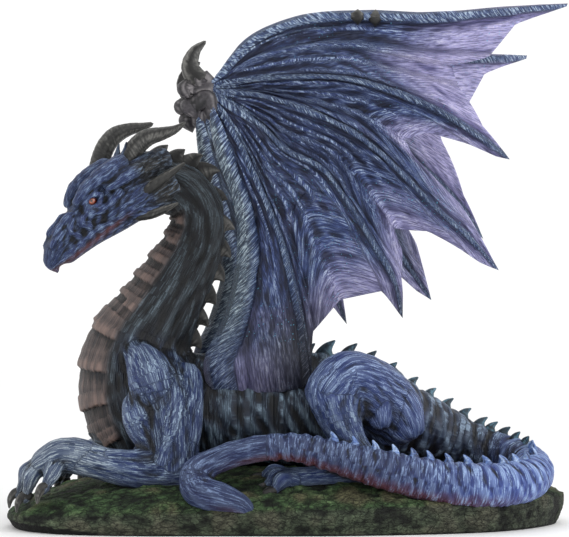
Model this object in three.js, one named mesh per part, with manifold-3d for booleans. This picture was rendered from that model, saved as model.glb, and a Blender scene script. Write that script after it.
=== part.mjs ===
// A resting winged dragon, cast in one with the mossy mound that it lies on, and its two wings,
// which are cast apart and let into the flanks. Millimetres, +Z up. The dragon faces -X, so its
// left side is towards -Y. The origin is the centre of the mound's flat underside.
import * as THREE from "three";
import Module from "manifold-3d";

const wasm = await Module();
wasm.setup();

// Driving sizes
const MOUND_LENGTH = 258;
const MOUND_DEPTH = 132;
const MOUND_RIM_FRONT = 7; // height of the mound's side under the dragon's claws
const MOUND_RIM_BACK = 14; // height of its side under the bend of the tail
const MOUND_CROWN = 27; // height of the mound under the dragon's belly
const FIGURE_HEIGHT = 235; // from the underside to the highest wing finger
const WING_THICKNESS = 3.2; // of the membrane between the fingers
const FINGER_RADIUS = 3.1; // of a wing finger near the wrist
const WING_CLEARANCE = 0.35; // between a wing's root and the flank it is let into
const TAIL_SPIKES = 24;
const BELLY_PLATES = 9;

const SLIVER = 0.3; // a triangle's height, below which it is merged into its neighbours

// The pose below is drawn on a figure this high, whose belly lies on a crown this high.
const POSE_HEIGHT = 235;
const POSE_CROWN = 27;
const POSE_SCALE = (FIGURE_HEIGHT - MOUND_CROWN) / (POSE_HEIGHT - POSE_CROWN);

// A point of the pose, in the part's own frame.
function posed([x, y, z]) {
  return new THREE.Vector3(x * POSE_SCALE, y * POSE_SCALE, MOUND_CROWN + (z - POSE_CROWN) * POSE_SCALE);
}

// Solids from closed meshes
function solidFrom(vertices, triangles) {
  const vertProperties = new Float32Array(vertices.flatMap((v) => [v.x, v.y, v.z]));
  let made = new wasm.Manifold(
    new wasm.Mesh({ numProp: 3, vertProperties, triVerts: new Uint32Array(triangles) }),
  );
  if (made.volume() < 0) {
    for (let i = 0; i < triangles.length; i += 3) {
      [triangles[i + 1], triangles[i + 2]] = [triangles[i + 2], triangles[i + 1]];
    }
    made = new wasm.Manifold(
      new wasm.Mesh({ numProp: 3, vertProperties, triVerts: new Uint32Array(triangles) }),
    );
  }
  return made;
}

function union(solids) {
  return solids.reduce((all, one) => all.add(one));
}

// The largest of a solid's separate bodies, so that a cut leaves no slivers.
function largest(solid) {
  return solid.decompose().reduce((best, one) => (one.volume() > best.volume() ? one : best));
}

// A finished casting: its largest body, without needless slivers of triangles.
function tidied(solid) {
  return largest(largest(solid).simplify(SLIVER));
}

// A closed surface through rings of equally many points, with a pole point at each end.
function skin(rings, firstPole, lastPole) {
  const sides = rings[0].length;
  const vertices = [firstPole, ...rings.flat(), lastPole];
  const at = (ring, k) => 1 + ring * sides + (k % sides);
  const triangles = [];
  for (let k = 0; k < sides; k++) {
    triangles.push(0, at(0, k + 1), at(0, k));
    triangles.push(vertices.length - 1, at(rings.length - 1, k), at(rings.length - 1, k + 1));
    for (let r = 0; r + 1 < rings.length; r++) {
      triangles.push(at(r, k), at(r, k + 1), at(r + 1, k));
      triangles.push(at(r, k + 1), at(r + 1, k + 1), at(r + 1, k));
    }
  }
  return solidFrom(vertices, triangles);
}

// A smooth line through a limb's joints, each [x, y, z, radius] or [x, y, z, radius, radius].
// The first radius lies along the direction up, and the second across it.
class Spine {
  constructor(joints, up) {
    this.line = new THREE.CatmullRomCurve3(joints.map(posed), false, "centripetal");
    const girths = joints.map(([, , , along, across = along]) => new THREE.Vector3(along, across, 0));
    this.girth = new THREE.CatmullRomCurve3(girths, false, "catmullrom", 0.5);
    this.up = new THREE.Vector3(...up);
  }

  // Centre, tangent, up and side directions, and the two radii, at a share of the limb.
  at(share) {
    const centre = this.line.getPoint(share);
    const tangent = this.line.getTangent(share);
    const up = this.up.clone().addScaledVector(tangent, -this.up.dot(tangent)).normalize();
    const side = new THREE.Vector3().crossVectors(tangent, up);
    const radii = this.girth.getPoint(share).multiplyScalar(POSE_SCALE);
    return { centre, tangent, up, side, along: radii.x, across: radii.y };
  }
}

const UP = [0, 0, 1];
const ACROSS = [0, 1, 0];
const DOME = 0.55; // how far a limb's rounded end stands past its last ring, as a share of radius

// A closed limb along a spine. carve(share, angle) adds to the radius, and angle 0 is the side.
function limb(joints, { steps = 8, sides = 8, up = UP, grow = 0, carve = null, shares = null } = {}) {
  const spine = new Spine(joints, up);
  const stops = shares ?? Array.from({ length: steps + 1 }, (_, i) => i / steps);
  const rings = stops.map((share) => {
    const s = spine.at(share);
    return Array.from({ length: sides }, (_, k) => {
      const angle = (2 * Math.PI * k) / sides;
      const extra = grow + (carve ? carve(share, angle) : 0);
      return s.centre
        .clone()
        .addScaledVector(s.side, Math.cos(angle) * (s.across + extra))
        .addScaledVector(s.up, Math.sin(angle) * (s.along + extra));
    });
  });
  const first = spine.at(0);
  const last = spine.at(1);
  const firstPole = first.centre.clone().addScaledVector(first.tangent, -DOME * (first.along + grow));
  const lastPole = last.centre.clone().addScaledVector(last.tangent, DOME * (last.along + grow));
  return skin(rings, firstPole, lastPole);
}

// A flat-sided spike that stands on a foot point and leans along a direction.
function spike(foot, up, along, height, length, thickness, lean) {
  const geometry = new THREE.ConeGeometry(Math.SQRT1_2, 1, 4, 1).rotateY(Math.PI / 4).translate(0, 0.5, 0);
  const rise = up.clone().multiplyScalar(height).addScaledVector(along, lean);
  const side = new THREE.Vector3().crossVectors(along, up).multiplyScalar(thickness);
  geometry.applyMatrix4(
    new THREE.Matrix4().makeBasis(along.clone().multiplyScalar(length), rise, side).setPosition(foot),
  );
  const corners = new Map();
  const vertices = [];
  const position = geometry.getAttribute("position");
  const triangles = Array.from(geometry.index.array, (i) => {
    const v = new THREE.Vector3().fromBufferAttribute(position, i);
    const key = v.toArray().map((c) => c.toFixed(3)).join();
    if (!corners.has(key)) {
      corners.set(key, vertices.length);
      vertices.push(v);
    }
    return corners.get(key);
  });
  const faces = [];
  for (let i = 0; i < triangles.length; i += 3) {
    const face = triangles.slice(i, i + 3);
    if (new Set(face).size === 3) faces.push(...face);
  }
  return solidFrom(vertices, faces);
}

// The mound: an oval with a wavy edge and a domed top
const MOUND_SIDES = 32;
const MOUND_RINGS = [1, 0.92, 0.78, 0.55, 0.25];
const EDGE_WAVES = [[3, 0.01, 1.9], [5, 0.008, 0.4], [9, 0.006, 2.2]];
const OVAL_FRONT = 3.4; // exponent of the outline, where 2 is an ellipse, under the claws
const OVAL_BACK = 2.2;

function moundReach(angle) {
  const waves = EDGE_WAVES.reduce((sum, [n, size, phase]) => sum + size * Math.sin(n * angle + phase), 0);
  const power = Math.cos(angle) < 0 ? OVAL_FRONT : OVAL_BACK;
  const oval = (Math.abs(Math.cos(angle)) ** power + Math.abs(Math.sin(angle)) ** power) ** (-1 / power);
  return oval * (1 + waves);
}

function moundRim(angle) {
  return MOUND_RIM_FRONT + (MOUND_RIM_BACK - MOUND_RIM_FRONT) * (0.5 + 0.5 * Math.cos(angle));
}

function moundTop(share, angle) {
  const rim = moundRim(angle);
  return rim + (MOUND_CROWN - rim) * (1 - share ** 2.6) ** 0.75;
}

function mound() {
  const ring = (share, height) =>
    Array.from({ length: MOUND_SIDES }, (_, k) => {
      const angle = (2 * Math.PI * k) / MOUND_SIDES;
      const reach = share * moundReach(angle) / 2;
      return new THREE.Vector3(
        MOUND_LENGTH * reach * Math.cos(angle),
        MOUND_DEPTH * reach * Math.sin(angle),
        height(angle),
      );
    });
  const rings = [ring(0.975, () => 0), ring(0.995, (angle) => 0.4 * moundRim(angle))];
  MOUND_RINGS.forEach((share) => rings.push(ring(share, (angle) => moundTop(share, angle))));
  return skin(rings, new THREE.Vector3(0, 0, 0), new THREE.Vector3(0, 0, MOUND_CROWN));
}

// Trunk, neck and tail
const TORSO = [
  [-76, 0, 47, 20, 18],
  [-57, 0, 51, 26, 23],
  [-30, 0, 52, 27, 24],
  [-2, 0, 52, 27, 22],
  [22, 0, 53, 26, 21],
  [42, 0, 50, 24, 20],
];
const NECK = [
  [-68, 0, 42, 22, 19.5],
  [-72.5, 0, 60, 23, 24.5],
  [-71, 0, 80, 22, 24.5],
  [-61.5, 0, 97, 20, 20.5],
  [-52, 0, 114, 17, 17.3],
  [-43.5, 0, 131, 14.5, 14.8],
  [-41.5, -1, 145, 13, 13],
  [-47.5, -3, 155.5, 12, 12.4],
  [-60, -5, 160, 11.5, 12.3],
];
const TAIL = [
  [36, 0, 53, 22],
  [57.5, 5, 47, 17],
  [75, 12, 40.5, 13.8],
  [92, 15, 34, 11.3],
  [105, 12, 30, 10.2],
  [114.5, 0, 26.5, 9.8],
  [115.5, -17, 24, 9.6],
  [107.5, -36, 21.5, 9.8],
  [92, -46, 20.5, 10],
  [73.5, -50, 21.5, 10],
  [55.5, -52, 25, 9.3],
  [38, -53, 29.5, 8.4],
  [20, -53, 34.5, 7.3],
  [2.5, -53, 38, 6.4],
  [-15, -53, 36.7, 6],
  [-30.5, -54, 32, 6.2],
  [-39.5, -56, 26, 7],
  [-38, -59, 19.5, 7.6],
  [-27.5, -61, 16, 6.8],
  [-18, -62, 13, 4.4],
  [-13.5, -62, 7.5, 1.8],
];

// The belly plates step outwards towards their lower lips, on the front of the neck.
const PLATE_TOP = 0.86; // share of the neck where the highest plate starts
const PLATE_FOOT = 0.02;
const PLATE_LIP = 2.2;
const PLATE_HALF_ANGLE = 1.15;
const FRONT = -Math.PI / 2; // the neck's spine is drawn with its up direction to +Y, so this is to -X

function plateLip(share, angle) {
  if (share >= PLATE_TOP || share <= PLATE_FOOT) return 0;
  const place = ((PLATE_TOP - share) / (PLATE_TOP - PLATE_FOOT)) * BELLY_PLATES;
  const off = Math.abs(angle > Math.PI ? angle - 2 * Math.PI : angle);
  return off < PLATE_HALF_ANGLE ? PLATE_LIP * (place % 1) : 0;
}

function neckShares() {
  const shares = [0];
  for (let i = BELLY_PLATES; i >= 0; i--) {
    const edge = PLATE_TOP - ((PLATE_TOP - PLATE_FOOT) * i) / BELLY_PLATES;
    shares.push(edge - 0.004, edge + 0.004);
  }
  return [...shares.filter((s) => s >= 0), 0.93, 1];
}

// Legs: the left ones, towards -Y, and the right ones
const LEGS = {
  left_fore_upper: [[-56, -16, 66, 15, 13], [-54, -28, 57, 15], [-51, -35, 42, 12.5], [-50, -37, 29, 10.5]],
  left_fore_lower: [[-48, -37, 27, 10], [-62, -38, 26, 9.3], [-77, -40, 28.5, 7.8], [-92, -41, 32.5, 7]],
  left_palm: [[-90, -41, 33, 6.8], [-100, -41, 34, 7.6, 8.5], [-108, -41, 30.5, 6.2, 9]],
  right_fore_upper: [[-56, 16, 64, 14], [-54, 27, 52, 13], [-50, 34, 31, 11]],
  right_fore_lower: [[-50, 34, 29, 9.5], [-66, 37, 28, 8.3], [-82, 38, 30, 7], [-90, 38, 31, 6.6]],
  right_palm: [[-88, 38, 31, 6.6], [-97, 38, 29.5, 6.6, 8], [-103, 38, 26, 5, 8]],
  left_haunch: [[50, -12, 52, 15, 14], [42, -20, 60, 16, 13], [28, -29, 67, 13.5], [22, -33, 62, 12]],
  left_shin: [[22, -33, 62, 11.5], [25, -36, 50, 10], [30, -38, 39, 7.6], [37, -40, 30, 6]],
  left_rump: [[42, -15, 61, 11, 9], [53, -19, 53, 10, 8], [57, -20, 45, 9, 7]],
  left_foot: [[40, -40, 27, 5.5], [24, -41, 24.5, 5.5], [8, -42, 23.5, 5, 6.5], [0, -42, 23, 4.6, 7]],
  right_haunch: [[50, 12, 52, 15, 14], [42, 20, 60, 16, 13], [28, 29, 66, 13.5], [22, 32, 61, 12]],
  right_shin: [[22, 32, 61, 11.5], [26, 36, 49, 10], [32, 38, 38, 7.6], [40, 39, 29, 6]],
  right_foot: [[42, 40, 27, 5.5], [26, 41, 25, 5.5], [10, 42, 24.5, 5, 6.5], [2, 42, 24, 4.6, 7]],
};

// Toes fan out from a palm: [palm point, tip of the toe], and a claw hooks down from each tip.
const TOES = {
  left_fore: [
    [[-107, -35, 31], [-114, -33, 27], [-117, -32, 18]],
    [[-109, -39, 30], [-116, -39, 25], [-120, -39, 15.5]],
    [[-108, -43, 29], [-113, -46, 23], [-115.5, -47, 14.5]],
    [[-101, -46, 30], [-103, -51, 25], [-106, -54, 19]],
  ],
  right_fore: [
    [[-101, 33, 27], [-108, 31, 23], [-112, 30, 17]],
    [[-103, 38, 27], [-111, 38, 22], [-115, 38, 16]],
    [[-102, 43, 26], [-108, 46, 21], [-111, 47, 15]],
    [[-95, 44, 29], [-98, 50, 24], [-101, 53, 18]],
  ],
  left_hind: [
    [[3, -37, 24], [-5, -36, 25], [-12, -35, 22]],
    [[1, -42, 23], [-4, -43, 23.5], [-9, -45, 18]],
    [[4, -47, 22.5], [-1, -50, 22], [-6, -52, 17]],
  ],
  right_hind: [
    [[4, 37, 24], [-4, 36, 25], [-11, 35, 21]],
    [[3, 42, 24], [-4, 43, 23.5], [-10, 44, 18]],
    [[5, 47, 23], [-1, 50, 22], [-7, 52, 17]],
  ],
};
const TOE_RADIUS = 3.3;
const CLAW_RADIUS = 2.3;
const CLAW_REACH = 5.5;

// A toe and the claw that it ends in.
function toe([root, knuckle, tip]) {
  const out = new THREE.Vector3(tip[0] - knuckle[0], tip[1] - knuckle[1], 0).setLength(CLAW_REACH * 0.6);
  const joints = [
    [...root, TOE_RADIUS],
    [knuckle[0], knuckle[1], knuckle[2] + 1.5, TOE_RADIUS],
    [...tip, CLAW_RADIUS],
    [tip[0] + out.x, tip[1] + out.y, tip[2] - CLAW_REACH, 0.7],
  ];
  return limb(joints, { steps: 3, sides: 5 });
}

// The head, drawn along its own axis: forward from the nape, across to the right, and up
const NAPE = new THREE.Vector3(-63.6, -5, 161.9);
const HEAD_FORWARD = new THREE.Vector3(-0.671, -0.395, -0.627).normalize();
const HEAD_UP = new THREE.Vector3(0, 0, 1)
  .addScaledVector(HEAD_FORWARD, -HEAD_FORWARD.z)
  .normalize();
const HEAD_RIGHT = new THREE.Vector3().crossVectors(HEAD_FORWARD, HEAD_UP);

// A joint [forward, right, up, radii...] of the head, as a joint of the pose.
function onHead([forward, right, up, ...radii]) {
  const at = NAPE.clone()
    .addScaledVector(HEAD_FORWARD, forward)
    .addScaledVector(HEAD_RIGHT, right)
    .addScaledVector(HEAD_UP, up);
  return [...at.toArray(), ...radii];
}

const SKULL = [
  [-4, 0, 0, 12, 10],
  [10, 0, 1.5, 13.6, 12],
  [23, 0, 3.8, 13, 11],
  [31, 0, 4.6, 11.6, 9],
  [40, 0, 5, 10, 7.4],
  [52, 0, 3.8, 8.2, 6.4],
  [60, 0, 2.4, 7.2, 5.8],
  [64, 0, 0.5, 4.8, 4.2],
];
const JAW = [[8, 0, -7, 5, 8], [26, 0, -6.2, 4, 7], [42, 0, -4, 3.4, 5.6], [56, 0, -3.4, 3, 4.2]];
const BEAK = [[60, 0, 1.5, 4, 4], [65, 0, -1, 3, 2.4], [65, 0, -5.5, 0.8, 0.8]];
const BROW = [[37, 5.5, 14, 2.6], [30, 8, 17, 3.8], [20, 9, 17, 4.6], [9, 9, 14.5, 5]];
const SMALL_HORN = [[12, 3.6, 13, 2], [4, 4, 19, 1.5], [0, 4.4, 22, 0.6]];
const CHEEK_SPINE = [[11, 10, 0, 2.6], [4, 14, 0, 2.2], [-3, 17, 0.3, 1.6], [-9, 19, 0.8, 0.6]];
const JAW_SPINE = [[19, 8.5, -6.5, 2.8], [12, 12, -10, 2.2], [3, 15.5, -12.5, 0.7]];
const CHEEK_WEB = [[14, 9.5, -4, 5, 1.5], [6, 13, -5, 5.5, 1.3], [-3, 16.5, -5.5, 5, 0.8]];
const EYE = [[31, 8.2, 7.2, 2.6], [33.5, 7.8, 7, 2.2]];
const NOSTRIL = [[55, 3.6, 8, 1.8], [61, 3.4, 6, 2]];

// The horns sweep back over the nape. These are points of the pose itself.
const LEFT_HORN = [
  [-76.5, -12, 164, 4.6],
  [-72.1, -14.5, 172.2, 4.3],
  [-68.5, -15.5, 177.2, 4.1],
  [-64, -16, 180.5, 3.7],
  [-57.4, -15.5, 182.4, 2.9],
  [-51.5, -14, 184.6, 1.8],
  [-46.6, -13, 188, 0.7],
];
const RIGHT_HORN = [
  [-88.5, 0, 166, 4.6],
  [-87.3, 1, 173.5, 4.3],
  [-85, 2, 179.2, 4.1],
  [-81, 4, 184.2, 3.8],
  [-74.5, 6.5, 187.4, 2.8],
  [-69, 8, 188.6, 2],
  [-64, 9, 190.4, 1],
];

function mirrored(joints, side) {
  return joints.map(([forward, right, ...rest]) => [forward, right * side, ...rest]);
}

function head() {
  const whole = { up: HEAD_UP.toArray(), steps: 8, sides: 10 };
  const small = { up: HEAD_UP.toArray(), steps: 2, sides: 5 };
  const one = (joints, options) => limb(joints.map(onHead), options);
  const pieces = [one(SKULL, whole), one(JAW, { ...whole, steps: 3, sides: 7 }), one(BEAK, small)];
  for (const horn of [LEFT_HORN, RIGHT_HORN]) {
    pieces.push(limb(horn, { ...small, steps: 5, sides: 6 }));
  }
  for (const side of [-1, 1]) {
    for (const piece of [BROW, SMALL_HORN, CHEEK_SPINE, JAW_SPINE, CHEEK_WEB, EYE, NOSTRIL]) {
      pieces.push(one(mirrored(piece, side), small));
    }
  }
  return pieces;
}

// Spikes along the back of the neck and the top of the tail
const NECK_SPIKE = { height: 6.4, length: 9.5, thickness: 3.6, lean: 2.6 };
const NECK_SPIKE_TIPS = [
  [-55.2, -4, 178.2],
  [-47.2, -3, 176.2],
  [-38.9, -2, 173.7],
  [-30.8, -1, 165.9],
  [-27.4, 0, 152.5],
  [-23.9, 0, 138.2],
  [-25.8, 0, 124.8],
  [-29, 0, 113.3],
  [-33.1, 0, 102.3],
  [-36.6, 0, 91.8],
  [-40, 0, 81.5],
];
const BACK_SPIKES = [
  [-34, 77, 6],
  [-18, 78.5, 6],
  [-2, 79, 6],
  [10, 79, 6],
  [19, 79.5, 6.5],
  [29.5, 78, 6.5],
  [39, 75, 6],
  [49, 70, 6],
];
const TAIL_SPIKE = { height: 4.6, length: 7.2, thickness: 4.4 };
const SPIKE_SINK = 1.6; // how deep a spike's foot stands in the flesh

function spikes() {
  const made = [];
  const tips = NECK_SPIKE_TIPS.map(posed);
  tips.forEach((tip, i) => {
    const { height, length, thickness, lean } = NECK_SPIKE;
    const down = tips[Math.min(i + 1, tips.length - 1)].clone().sub(tips[Math.max(i - 1, 0)]).normalize();
    const out = down.clone().cross(new THREE.Vector3(...ACROSS)).normalize();
    const foot = tip.clone().addScaledVector(out, -height - SPIKE_SINK).addScaledVector(down, -lean);
    made.push(spike(foot, out, down, height + SPIKE_SINK, length, thickness, lean));
  });
  for (const [x, z, height] of BACK_SPIKES) {
    const foot = posed([x, 0, z - 3]);
    const out = new THREE.Vector3(0.1, 0, 1).normalize();
    made.push(spike(foot, out, new THREE.Vector3(1, 0, -0.1).normalize(), height + 3, 10, 4, height * 0.6));
  }
  const tail = new Spine(TAIL, UP);
  for (let i = 0; i < TAIL_SPIKES; i++) {
    const share = 0.045 + (0.55 * i) / (TAIL_SPIKES - 1);
    const s = tail.at(share);
    const size = 1 - 0.35 * (i / TAIL_SPIKES);
    const foot = s.centre.clone().addScaledVector(s.up, s.along - SPIKE_SINK);
    const { height, length, thickness } = TAIL_SPIKE;
    const tall = height * size + SPIKE_SINK;
    made.push(spike(foot, s.up, s.tangent, tall, length * size, thickness, height * 0.5));
  }
  return made;
}

// The large limbs, which a wing's root is cut back from when they are grown by its clearance
function trunk(grow) {
  const rings = [];
  rings.push(limb(TORSO, { steps: 6, sides: 12, grow }));
  rings.push(
    limb(NECK, { sides: 12, up: ACROSS, shares: neckShares(), grow, carve: plateLip }),
  );
  rings.push(limb(TAIL, { steps: 24, sides: 7, grow }));
  for (const name of ["left_fore_upper", "right_fore_upper", "left_haunch", "right_haunch"]) {
    rings.push(limb(LEGS[name], { steps: 4, sides: 8, grow }));
  }
  return rings;
}

function lesserLimbs() {
  const drawn = ["left_fore_upper", "right_fore_upper", "left_haunch", "right_haunch"];
  const legs = Object.entries(LEGS).filter(([name]) => !drawn.includes(name));
  return [
    ...legs.map(([, joints]) => limb(joints, { steps: 3, sides: 7 })),
    ...Object.values(TOES).flat().map(toe),
  ];
}

// Wings: bones and folds spread from the wrist. Each is [x, outward, z], where outward is away
// from the middle plane. The last two are the fold that ends at the membrane's rear foot, and the
// arm, which is the leading edge. v runs along each from the wrist to its end.
const LEFT_WING = {
  side: -1,
  lines: [
    [
      [-34, 38, 202],
      [-14, 42, 220.5],
      [7, 45, 228.5],
      [33, 48, 230.5],
      [65, 52, 229],
      [96, 57, 231],
      [125, 62, 233],
    ],
    [
      [-34, 38, 200.5],
      [-6, 44, 203.5],
      [25, 50, 203],
      [45.5, 53, 197.5],
      [69, 56, 187],
      [84.5, 59, 176.5],
      [99.5, 61, 165],
    ],
    [
      [-34, 38, 199.5],
      [-10.5, 44, 196],
      [16.5, 50, 186],
      [36.5, 54, 174],
      [52.5, 57, 159],
      [68.5, 59, 142],
      [80, 60, 132],
      [94.5, 60, 116],
    ],
    [
      [-33, 38, 198.5],
      [-12, 42, 184],
      [1, 46, 171],
      [16.5, 50, 162.5],
      [28.5, 53, 146.5],
      [40, 55, 127.5],
      [48.5, 55, 112.5],
      [52.5, 54, 95],
    ],
    [[-33, 38, 195], [-22, 38, 179], [-10, 38, 153.5], [0, 36, 126.5], [7, 31, 99], [12.5, 22, 65]],
    [
      [-35.5, 38, 196],
      [-27.5, 33, 168],
      [-20.5, 30, 150],
      [-17.5, 27, 131.5],
      [-18, 25, 113],
      [-22.5, 24, 95],
      [-30, 22, 75.5],
      [-28, 20, 62],
    ],
  ],
  claw: [[-39, 38, 203], [-43, 38, 210], [-41, 38, 217], [-36.5, 38, 221.5]],
  knuckles: [[-43.5, 38, 200], [-42, 38, 192]],
  knobs: [[33, 50, 233], [41, 50, 232.2]],
};
const RIGHT_WING = {
  side: 1,
  lines: [
    [
      [-41, 38, 207],
      [-22.5, 42, 221],
      [3, 46, 229],
      [38.5, 50, 231],
      [74.5, 54, 230],
      [100.5, 58, 230.5],
      [125, 62, 231.5],
    ],
    [[-41, 38, 206], [-7.5, 44, 207], [28, 50, 200.5], [59, 55, 183], [82.5, 59, 163], [102, 60, 138]],
    [[-41, 38, 204], [-12.5, 44, 194.5], [18, 50, 175], [41, 54, 152], [59, 57, 129.5], [75, 58, 106.5]],
    [[-40.5, 38, 202], [-22.5, 42, 184], [-5, 46, 162], [10.5, 49, 139], [22, 50, 116.5], [31.5, 50, 94]],
    [[-40, 37, 200], [-29.5, 36, 176], [-17, 34, 145.5], [-7, 31, 115.5], [3, 28, 91], [10, 22, 67]],
    [
      [-44, 36, 201],
      [-39.5, 32, 175.5],
      [-31, 28, 140],
      [-26, 26, 115.5],
      [-30.5, 24, 95.5],
      [-37, 22, 78.5],
      [-34, 20, 66],
    ],
  ],
  claw: [[-46, 38, 208], [-50, 38, 214], [-48, 38, 221], [-43, 38, 225]],
  knuckles: [[-50, 38, 203], [-48, 38, 196]],
  knobs: [[30, 49, 232.5], [38, 50, 232.5]],
};
// The edge of the membrane draws in between neighbouring bones and leaves their tips free. Each
// stretch has [share of the way across, share of the bones' reach] along its edge.
const EDGES = [
  [[0, 1], [0.05, 0.93], [0.1, 0.88], [0.37, 0.837], [0.5, 0.739], [0.68, 0.772], [0.91, 0.885], [1, 1]],
  [[0, 1], [0.06, 0.95], [0.13, 0.85], [0.27, 0.71], [0.52, 0.627], [0.64, 0.66], [0.74, 0.835], [1, 1]],
  [[0, 1], [0.09, 0.955], [0.16, 0.895], [0.29, 0.8], [0.62, 0.738], [0.72, 0.81], [0.9, 0.872], [1, 1]],
  [[0, 1], [0.07, 0.94], [0.14, 0.88], [0.54, 0.814], [0.9, 0.842], [0.95, 0.9], [1, 1]],
  [[0, 1], [1, 1]],
];
const SAG = [4.5, 6, 6, 5, 2.5]; // how far the membrane hangs inwards between them
const BONE_SHARES = [1, 0.95, 0.95, 0.9, 0.6, 1.2]; // of the finger radius, for each line
const WING_ROWS = 6;

// Columns of points on the membrane, as shares of the way across each stretch
const COLUMNS = [
  [0.1, 0.37, 0.5, 0.68, 0.91],
  [0.13, 0.27, 0.52, 0.64, 0.74, 0.92],
  [0.16, 0.29, 0.62, 0.72, 0.9],
  [0.14, 0.35, 0.54, 0.9],
  [0.35, 0.65],
];

function wingLines(wing) {
  return wing.lines.map(
    (points) =>
      new THREE.CatmullRomCurve3(
        points.map(([x, y, z]) => posed([x, y * wing.side, z])),
        false,
        "centripetal",
      ),
  );
}

function wingColumns() {
  const columns = [];
  COLUMNS.forEach((shares, stretch) => {
    columns.push({ stretch, bone: 0, beside: stretch ? 0 : -1 });
    if (!stretch) columns.push({ stretch, bone: 0, beside: 0 });
    columns.push({ stretch, bone: 0, beside: 1 });
    shares.forEach((share) => columns.push({ stretch, share }));
    columns.push({ stretch, bone: 1, beside: -1 });
  });
  const stretch = COLUMNS.length - 1;
  columns.push({ stretch, bone: 1, beside: 0 }, { stretch, bone: 1, beside: 1 });
  return columns;
}

function edgeReach(stretch, across) {
  const edge = EDGES[stretch];
  const k = edge.findIndex(([share]) => share >= across);
  if (k <= 0) return 1;
  const [[low, from], [high, to]] = [edge[k - 1], edge[k]];
  return from + ((to - from) * (across - low)) / (high - low);
}

function boneRadius(line, v) {
  const isFinger = line < 4;
  return POSE_SCALE * FINGER_RADIUS * BONE_SHARES[line] * (isFinger ? 1 - 0.6 * v ** 5 : 1 + 0.6 * v);
}

// The middle of the membrane in a column, at v from the wrist, and half its thickness there.
function membranePoint(lines, side, { stretch, share, bone, beside }, v) {
  const onBone = share === undefined;
  const radius = onBone ? boneRadius(stretch + bone, v) : 0;
  const width = lines[stretch].getPointAt(v).distanceTo(lines[stretch + 1].getPointAt(v));
  const across = onBone ? bone + beside * Math.min(0.24, radius / width) : share;
  const reach = v * (onBone ? 1 : edgeReach(stretch, across));
  const from = lines[stretch].getPointAt(reach);
  const point = from.clone().lerp(lines[stretch + 1].getPointAt(reach), across);
  const between = Math.sin(Math.PI * THREE.MathUtils.clamp(across, 0, 1));
  point.y -= side * POSE_SCALE * SAG[stretch] * between * Math.min(1, reach * 2.2);
  const half = onBone && beside === 0 ? radius : (WING_THICKNESS / 2) * (1 - 0.4 * v);
  return { point, half };
}

function membrane(wing) {
  const lines = wingLines(wing);
  const columns = wingColumns();
  const vertices = [];
  for (const face of [1, -1]) {
    for (const column of columns) {
      for (let row = 0; row <= WING_ROWS; row++) {
        const v = 0.05 + (0.95 * row) / WING_ROWS;
        const { point, half } = membranePoint(lines, wing.side, column, v);
        point.y += face * wing.side * half;
        vertices.push(point);
      }
    }
  }
  const rows = WING_ROWS + 1;
  const last = columns.length - 1;
  const at = (face, c, r) => (face * (last + 1) + c) * rows + r;
  const triangles = [];
  const quad = (a, b, c, d) => triangles.push(a, b, c, a, c, d);
  for (let c = 0; c < last; c++) {
    for (let r = 0; r < WING_ROWS; r++) {
      quad(at(0, c, r), at(0, c + 1, r), at(0, c + 1, r + 1), at(0, c, r + 1));
      quad(at(1, c, r), at(1, c, r + 1), at(1, c + 1, r + 1), at(1, c + 1, r));
    }
    quad(at(0, c, 0), at(1, c, 0), at(1, c + 1, 0), at(0, c + 1, 0));
    quad(at(0, c, WING_ROWS), at(0, c + 1, WING_ROWS), at(1, c + 1, WING_ROWS), at(1, c, WING_ROWS));
  }
  for (let r = 0; r < WING_ROWS; r++) {
    quad(at(0, 0, r), at(0, 0, r + 1), at(1, 0, r + 1), at(1, 0, r));
    quad(at(0, last, r), at(1, last, r), at(1, last, r + 1), at(0, last, r + 1));
  }
  return solidFrom(vertices, triangles);
}

function wing(shape, socket) {
  const outward = ([x, y, z], ...radii) => [x, y * shape.side, z, ...radii];
  const small = { sides: 6, up: ACROSS };
  const pieces = [membrane(shape)];
  const hook = shape.claw.map((point, k) => outward(point, 5 - 1.35 * k));
  pieces.push(limb(hook, { ...small, steps: 5 }));
  const [knuckle] = shape.knuckles;
  const [apex, top] = shape.lines[0];
  const spread = top.map((c, i) => 0.5 * (c + shape.lines[1][1][i]));
  const wrist = [outward(knuckle, 4.4), outward(apex, 4, 5.5), outward(spread, 1.6, 5)];
  pieces.push(limb(wrist, { ...small, steps: 3 }));
  const stem = [shape.claw[0], shape.knuckles[0], shape.knuckles[1]];
  pieces.push(limb(stem.map((point) => outward(point, 4.6)), { ...small, steps: 3 }));
  for (const [x, y, z] of shape.knobs) {
    pieces.push(limb([outward([x, y, z - 3], 2.6), outward([x, y, z], 2.4)], { ...small, steps: 1 }));
  }
  const [x, , z] = shape.lines.at(-1).at(-1);
  const root = [[x, 20, z], [-18, 22, 67], [0, 21, 67], [9, 20, 69]];
  pieces.push(limb(root.map((point, k) => outward(point, 8 - k, 6)), { steps: 4, sides: 7 }));
  return tidied(union(pieces).subtract(socket));
}

// Colours and finishes
const PAINT = {
  body: new THREE.MeshStandardMaterial({ color: 0x1f2c52, roughness: 0.5, metalness: 0.05 }),
  wing: new THREE.MeshStandardMaterial({ color: 0x2b3263, roughness: 0.48, metalness: 0.05 }),
};

function meshOf(solid, name, material) {
  const { vertProperties, triVerts } = solid.getMesh();
  const geometry = new THREE.BufferGeometry()
    .setAttribute("position", new THREE.BufferAttribute(vertProperties, 3))
    .setIndex(new THREE.BufferAttribute(triVerts, 1));
  const mesh = new THREE.Mesh(geometry, material);
  mesh.name = name;
  return mesh;
}

const socket = union([...trunk(WING_CLEARANCE), ...spikes()]);
const dragon = union([mound(), ...trunk(0), ...lesserLimbs(), ...head(), ...spikes()]);

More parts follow.
